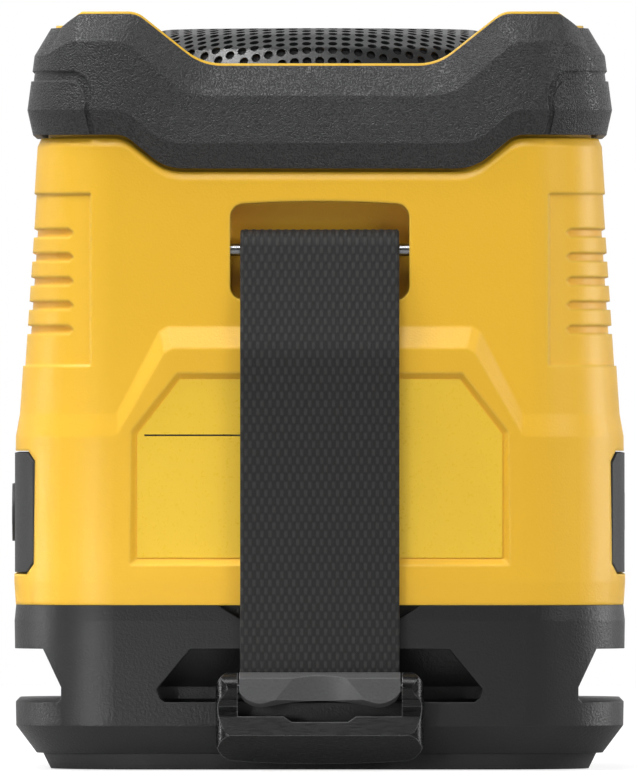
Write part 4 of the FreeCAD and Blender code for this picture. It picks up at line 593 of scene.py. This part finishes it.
def strap_relief(across, along):
    """Height of the threads: each warp end is a ridge, raised where it floats over the weft."""
    column = (across / STRAP_WIDTH + 0.5) * WARP_ENDS
    part = column - np.floor(column) - 0.5
    ridge = np.sqrt(1 - RIDGE_ROUND * part ** 2)
    wave = 0.5 + 0.5 * np.cos(math.pi * (along / FLOAT + np.floor(column)))
    return RELIEF * ridge * (DIVE_SHARE + (1 - DIVE_SHARE) * wave)


def woven_strap():
    """Profile carried along the strap's line: two faces that follow the threads' relief and
    two round edges."""
    at, line = strap_line()
    half = STRAP_THICK / 2 - RELIEF
    ends = STRAP_WIDTH / 2 - STRAP_EDGE
    wide = WARP_ENDS * END_POINTS
    face = (np.arange(wide) + 0.5) / wide * 2 * ends - ends
    bend = np.linspace(-90, 90, EDGE_POINTS + 2)[1:-1] * math.pi / 180
    edge = ends + STRAP_EDGE * np.cos(bend)
    rise = np.sign(bend) * np.abs(np.sin(bend)) ** EDGE_FULLNESS
    across = np.concatenate([face, edge, face[::-2], -edge])
    side = np.concatenate([np.ones(len(face)), -rise, -np.ones(len(face[::-2])), rise])
    lift = np.concatenate([np.ones(len(face)), np.zeros(len(bend)), -np.ones(len(face[::-2])),
                           np.zeros(len(bend))])
    grow = strap_relief(across[None, :].clip(-ends, ends), at[:, None]) * lift
    out = side * half + grow
    tangent = np.gradient(line, axis=0)
    tangent /= np.hypot(*tangent.T)[:, None]
    normal = np.column_stack([-tangent[:, 1], tangent[:, 0]])
    if normal[-1, 0] > 0:
        normal = -normal
    points = np.empty((len(at), len(across), 3))
    points[:, :, 0] = across
    points[:, :, 1] = line[:, None, 0] + normal[:, None, 0] * out
    points[:, :, 2] = line[:, None, 1] + normal[:, None, 1] * out
    count = len(across)
    faces = [grid_faces(len(at), count, True), np.arange(count)[None, ::-1],
             np.arange(count)[None] + (len(at) - 1) * count]
    points = points.reshape(-1, 3)
    turned = outward(points, faces)
    made = piece("strap_woven", points, turned, webbing(), "strap", 180.0)
    lie = np.column_stack([np.tile(across + STRAP_WIDTH / 2, len(at)), np.repeat(at, count)])
    layer = made.data.uv_layers.new(name="cloth")
    loops = np.concatenate([block.ravel() for block in turned])
    layer.data.foreach_set("uv", lie[loops].ravel())
    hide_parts("strap_webbing")
    return made


def stroke(path, widths, face):
    """Flat bar on a key's face: a box section carried along a path in the YZ plane."""
    path = np.array(path, float)
    widths = np.broadcast_to(widths, len(path))[:, None] / 2
    along = np.gradient(path, axis=0)
    side = np.column_stack([-along[:, 1], along[:, 0]]) / np.hypot(*along.T)[:, None]
    left, right = path + side * widths, path - side * widths
    ring = [np.column_stack([np.full(len(path), face - INK_THICK * up), edge])
            for edge, up in ((left, 1), (right, 1), (right, -1), (left, -1))]
    points = np.stack(ring, 1).reshape(-1, 3)
    last = 4 * (len(path) - 1)
    caps = np.array([[3, 2, 1, 0], [last, last + 1, last + 2, last + 3]])
    return points, outward(points, [np.vstack([grid_faces(len(path), 4, True), caps])])[0]


def symbol(name, strokes, key):
    """Strokes joined into one inked piece on a key's cap, centred on the key."""
    low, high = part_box(key)
    middle = (low + high) / 2 / MM
    points, faces, count = [], [], 0
    for path, widths in strokes:
        moved = np.array(path, float) + (middle.y, middle.z)
        corner, quad = stroke(moved, widths, low.x / MM)
        points.append(corner)
        faces.append(quad + count)
        count += len(corner)
    return piece(name, np.vstack(points), faces, INK, key)


def arc(radius, first, last, count=28):
    """Points round a circle between two angles in degrees."""
    turn = np.radians(np.linspace(first, last, count))
    return np.column_stack([radius * np.cos(turn), radius * np.sin(turn)])


def key_symbols():
    """Plain signs: power ring with its bar, a dot in a ring, minus, play and pause, plus."""
    r, w = SYMBOL_R, STROKE
    symbol("power_sign", [(arc(r, 125, 415), w), ([(0, 0.3), (0, r + 0.3)], w)], "power_key")
    symbol("pairing_sign", [(arc(r, 0, 360), w), (arc(0.35, 0, 360), 0.7)], "pairing_key")
    symbol("minus_sign", [([(-r, 0), (r, 0)], w)], "volume_down_key")
    symbol("play_sign", [([(1.5, 0), (-0.3, 0)], (2.6, 0.1)),
                         ([(-0.9, -1.2), (-0.9, 1.2)], w), ([(-1.7, -1.2), (-1.7, 1.2)], w)],
           "play_key")
    symbol("plus_sign", [([(-r, 0), (r, 0)], w), ([(0, -r), (0, r)], w)], "volume_up_key")


def floor():
    """Plain pale floor that the camera and the reflections see as white, with its shadow."""
    made, tree, shader, _ = start("paper_backdrop", Roughness=0.9)
    shader.inputs["Base Color"].default_value = linear("#B4B4B4")
    shader.inputs["Emission Color"].default_value = (1, 1, 1, 1)
    path = add(tree, "LightPath").outputs
    mirrored = calc(tree, "MULTIPLY", path["Is Glossy Ray"], 0.1)
    strength = calc(tree, "MULTIPLY_ADD", path["Is Camera Ray"], 0.8, mirrored)
    tree.links.new(strength, shader.inputs["Emission Strength"])
    mesh = bpy.data.meshes.new("floor")
    corners = [(x * FLOOR_HALF, y * FLOOR_HALF, FLOOR_Z)
               for x, y in ((-1, -1), (1, -1), (1, 1), (-1, 1))]
    mesh.from_pydata(corners, [], [(0, 1, 2, 3)])
    mesh.materials.append(made)
    plane = bpy.data.objects.new("floor", mesh)
    bpy.context.scene.collection.objects.link(plane)


def lamp(name, place, width, height, power, aim=(0, 0, 0.06), spread=math.pi):
    """Soft upright lamp that faces a point, with the angle over which it spreads."""
    data = bpy.data.lights.new(name, "AREA")
    data.shape = "RECTANGLE"
    data.size, data.size_y = width, height
    data.energy = power
    data.spread = spread
    made = bpy.data.objects.new(name, data)
    made.location = place
    made.rotation_euler = (Vector(aim) - Vector(place)).to_track_quat("-Z", "Y").to_euler()
    bpy.context.scene.collection.objects.link(made)


def studio():
    """White behind the object, dim grey in front, a tall key lamp at the left front and weaker
    lamps round the object."""
    world = bpy.data.worlds.new("studio")
    world.use_nodes = True
    bpy.context.scene.world = world
    tree = world.node_tree
    path = add(tree, "LightPath").outputs
    way = add(tree, "SeparateXYZ", {0: add(tree, "TexCoord").outputs["Generated"]})
    behind = add(tree, "MapRange", {0: way.outputs[1], 1: -0.2, 2: 0.3, 3: 0.05, 4: 0.8})
    shiny = calc(tree, "MAXIMUM", path["Is Glossy Ray"], path["Is Transmission Ray"])
    mirrored = add(tree, "Mix", {0: shiny, 2: 0.24, 3: behind.outputs[0]})
    strength = add(tree, "Mix", {0: path["Is Camera Ray"], 2: mirrored.outputs[0], 3: 1.0})
    back = tree.nodes["Background"]
    back.inputs["Color"].default_value = (1, 1, 1, 1)
    tree.links.new(strength.outputs[0], back.inputs["Strength"])
    lamp("key", (-0.25, -0.8, 1.15), 0.7, 0.5, 9.0)
    lamp("fill", (0.8, -0.8, 0.55), 0.5, 0.5, 3.2)
    lamp("top", (-0.7, -0.2, 0.95), 0.4, 0.4, 4.0)
    lamp("side left", (-0.75, -0.7, 0.25), 0.12, 0.4, 0.35)
    lamp("low left", (-0.16, -0.32, 0.02), 0.08, 0.04, 0.012, (-0.04, -0.04, -0.01),
         math.radians(34))
    lamp("crown", (-0.13, -0.06, 0.34), 0.06, 0.06, 0.3)
    lamp("edge left", (-0.5, -0.03, 0.04), 0.06, 0.1, 0.009, (-0.02, -0.05, 0.01), math.radians(24))
    lamp("edge right", (0.5, -0.03, 0.04), 0.06, 0.1, 0.005, (0.02, -0.05, 0.01), math.radians(24))
    lamp("rim left", (-0.9, 0.25, 0.2), 0.3, 0.8, 0.5)
    lamp("rim right", (0.9, 0.2, 0.15), 0.3, 0.6, 2.8)


def camera():
    """Level camera at the photograph's place, focused by the height it frames."""
    data = bpy.data.cameras.new("camera")
    data.sensor_width = SENSOR
    data.lens = SENSOR * (CAMERA_DISTANCE - CORNER_PLANE) / VIEW_HEIGHT
    made = bpy.data.objects.new("camera", data)
    made.location = (CAMERA_PLACE[0] * MM, -CAMERA_DISTANCE * MM, CAMERA_PLACE[1] * MM)
    made.rotation_euler = (math.pi / 2, 0, 0)
    bpy.context.scene.collection.objects.link(made)
    bpy.context.scene.camera = made


INK = symbol_ink()
bpy.context.scene.view_settings.view_transform = "Standard"
dress(yellow_abs(), "housing_shell")
dress(grained_rubber(), "top_bumper")
dress(base_nylon(), "base_shell", "battery_cradle")
dress(foot_rubber(), "foot_pad")
dress(drawn_steel("steel_drawn_bright", "#85878A", "#A2A4A7", 0.24), "strap_pin")
dress(drawn_steel("steel_black_oxided", "#38393B", "#4A4B4D", 0.3), "latch_pin")
dress(drawn_steel("steel_zinc_plated", "#A4A7AB", "#C0C3C6", 0.32), "case_screws",
      "driver_screws", "board_screws", "driver_top_plate", "driver_yoke")
dress(drawn_steel("steel_nickel_plated", "#B4B2AC", "#CDCBC6", 0.25), "usb_socket")
dress(drawn_steel("aluminium_foil_rolled", "#B9BBBD", "#D0D2D4", 0.3), "coil_former")
dress(latch_acetal(), "latch_frame")
dress(tongue_acetal(), "strap_end")
dress(label_film(), "rating_label")
dress(pad_rubber(), "key_pad", "port_pad", "port_cover", "driver_surround")
dress(key_rubber(), "power_key", "pairing_key", "volume_down_key", "play_key", "volume_up_key")
dress(light_pipe(), "status_light")
dress(solder_mask(), "button_board", "charge_board", "main_board")
dress(component_epoxy(), "tact_switches", "board_parts", "usb_tongue")
dress(basket_steel(), "driver_basket")
dress(seal_foam(), "base_seal")
dress(ferrite(), "driver_magnet")
dress(coil_wire(), "voice_coil")
dress(cone_pulp(), "driver_cone", "dust_cap")
dress(treated_cloth(), "driver_spider")
dress(cell_film(), "battery_cells")
grille_cloth(perforated_sheet())
woven_strap()
key_symbols()
floor()
studio()
camera()
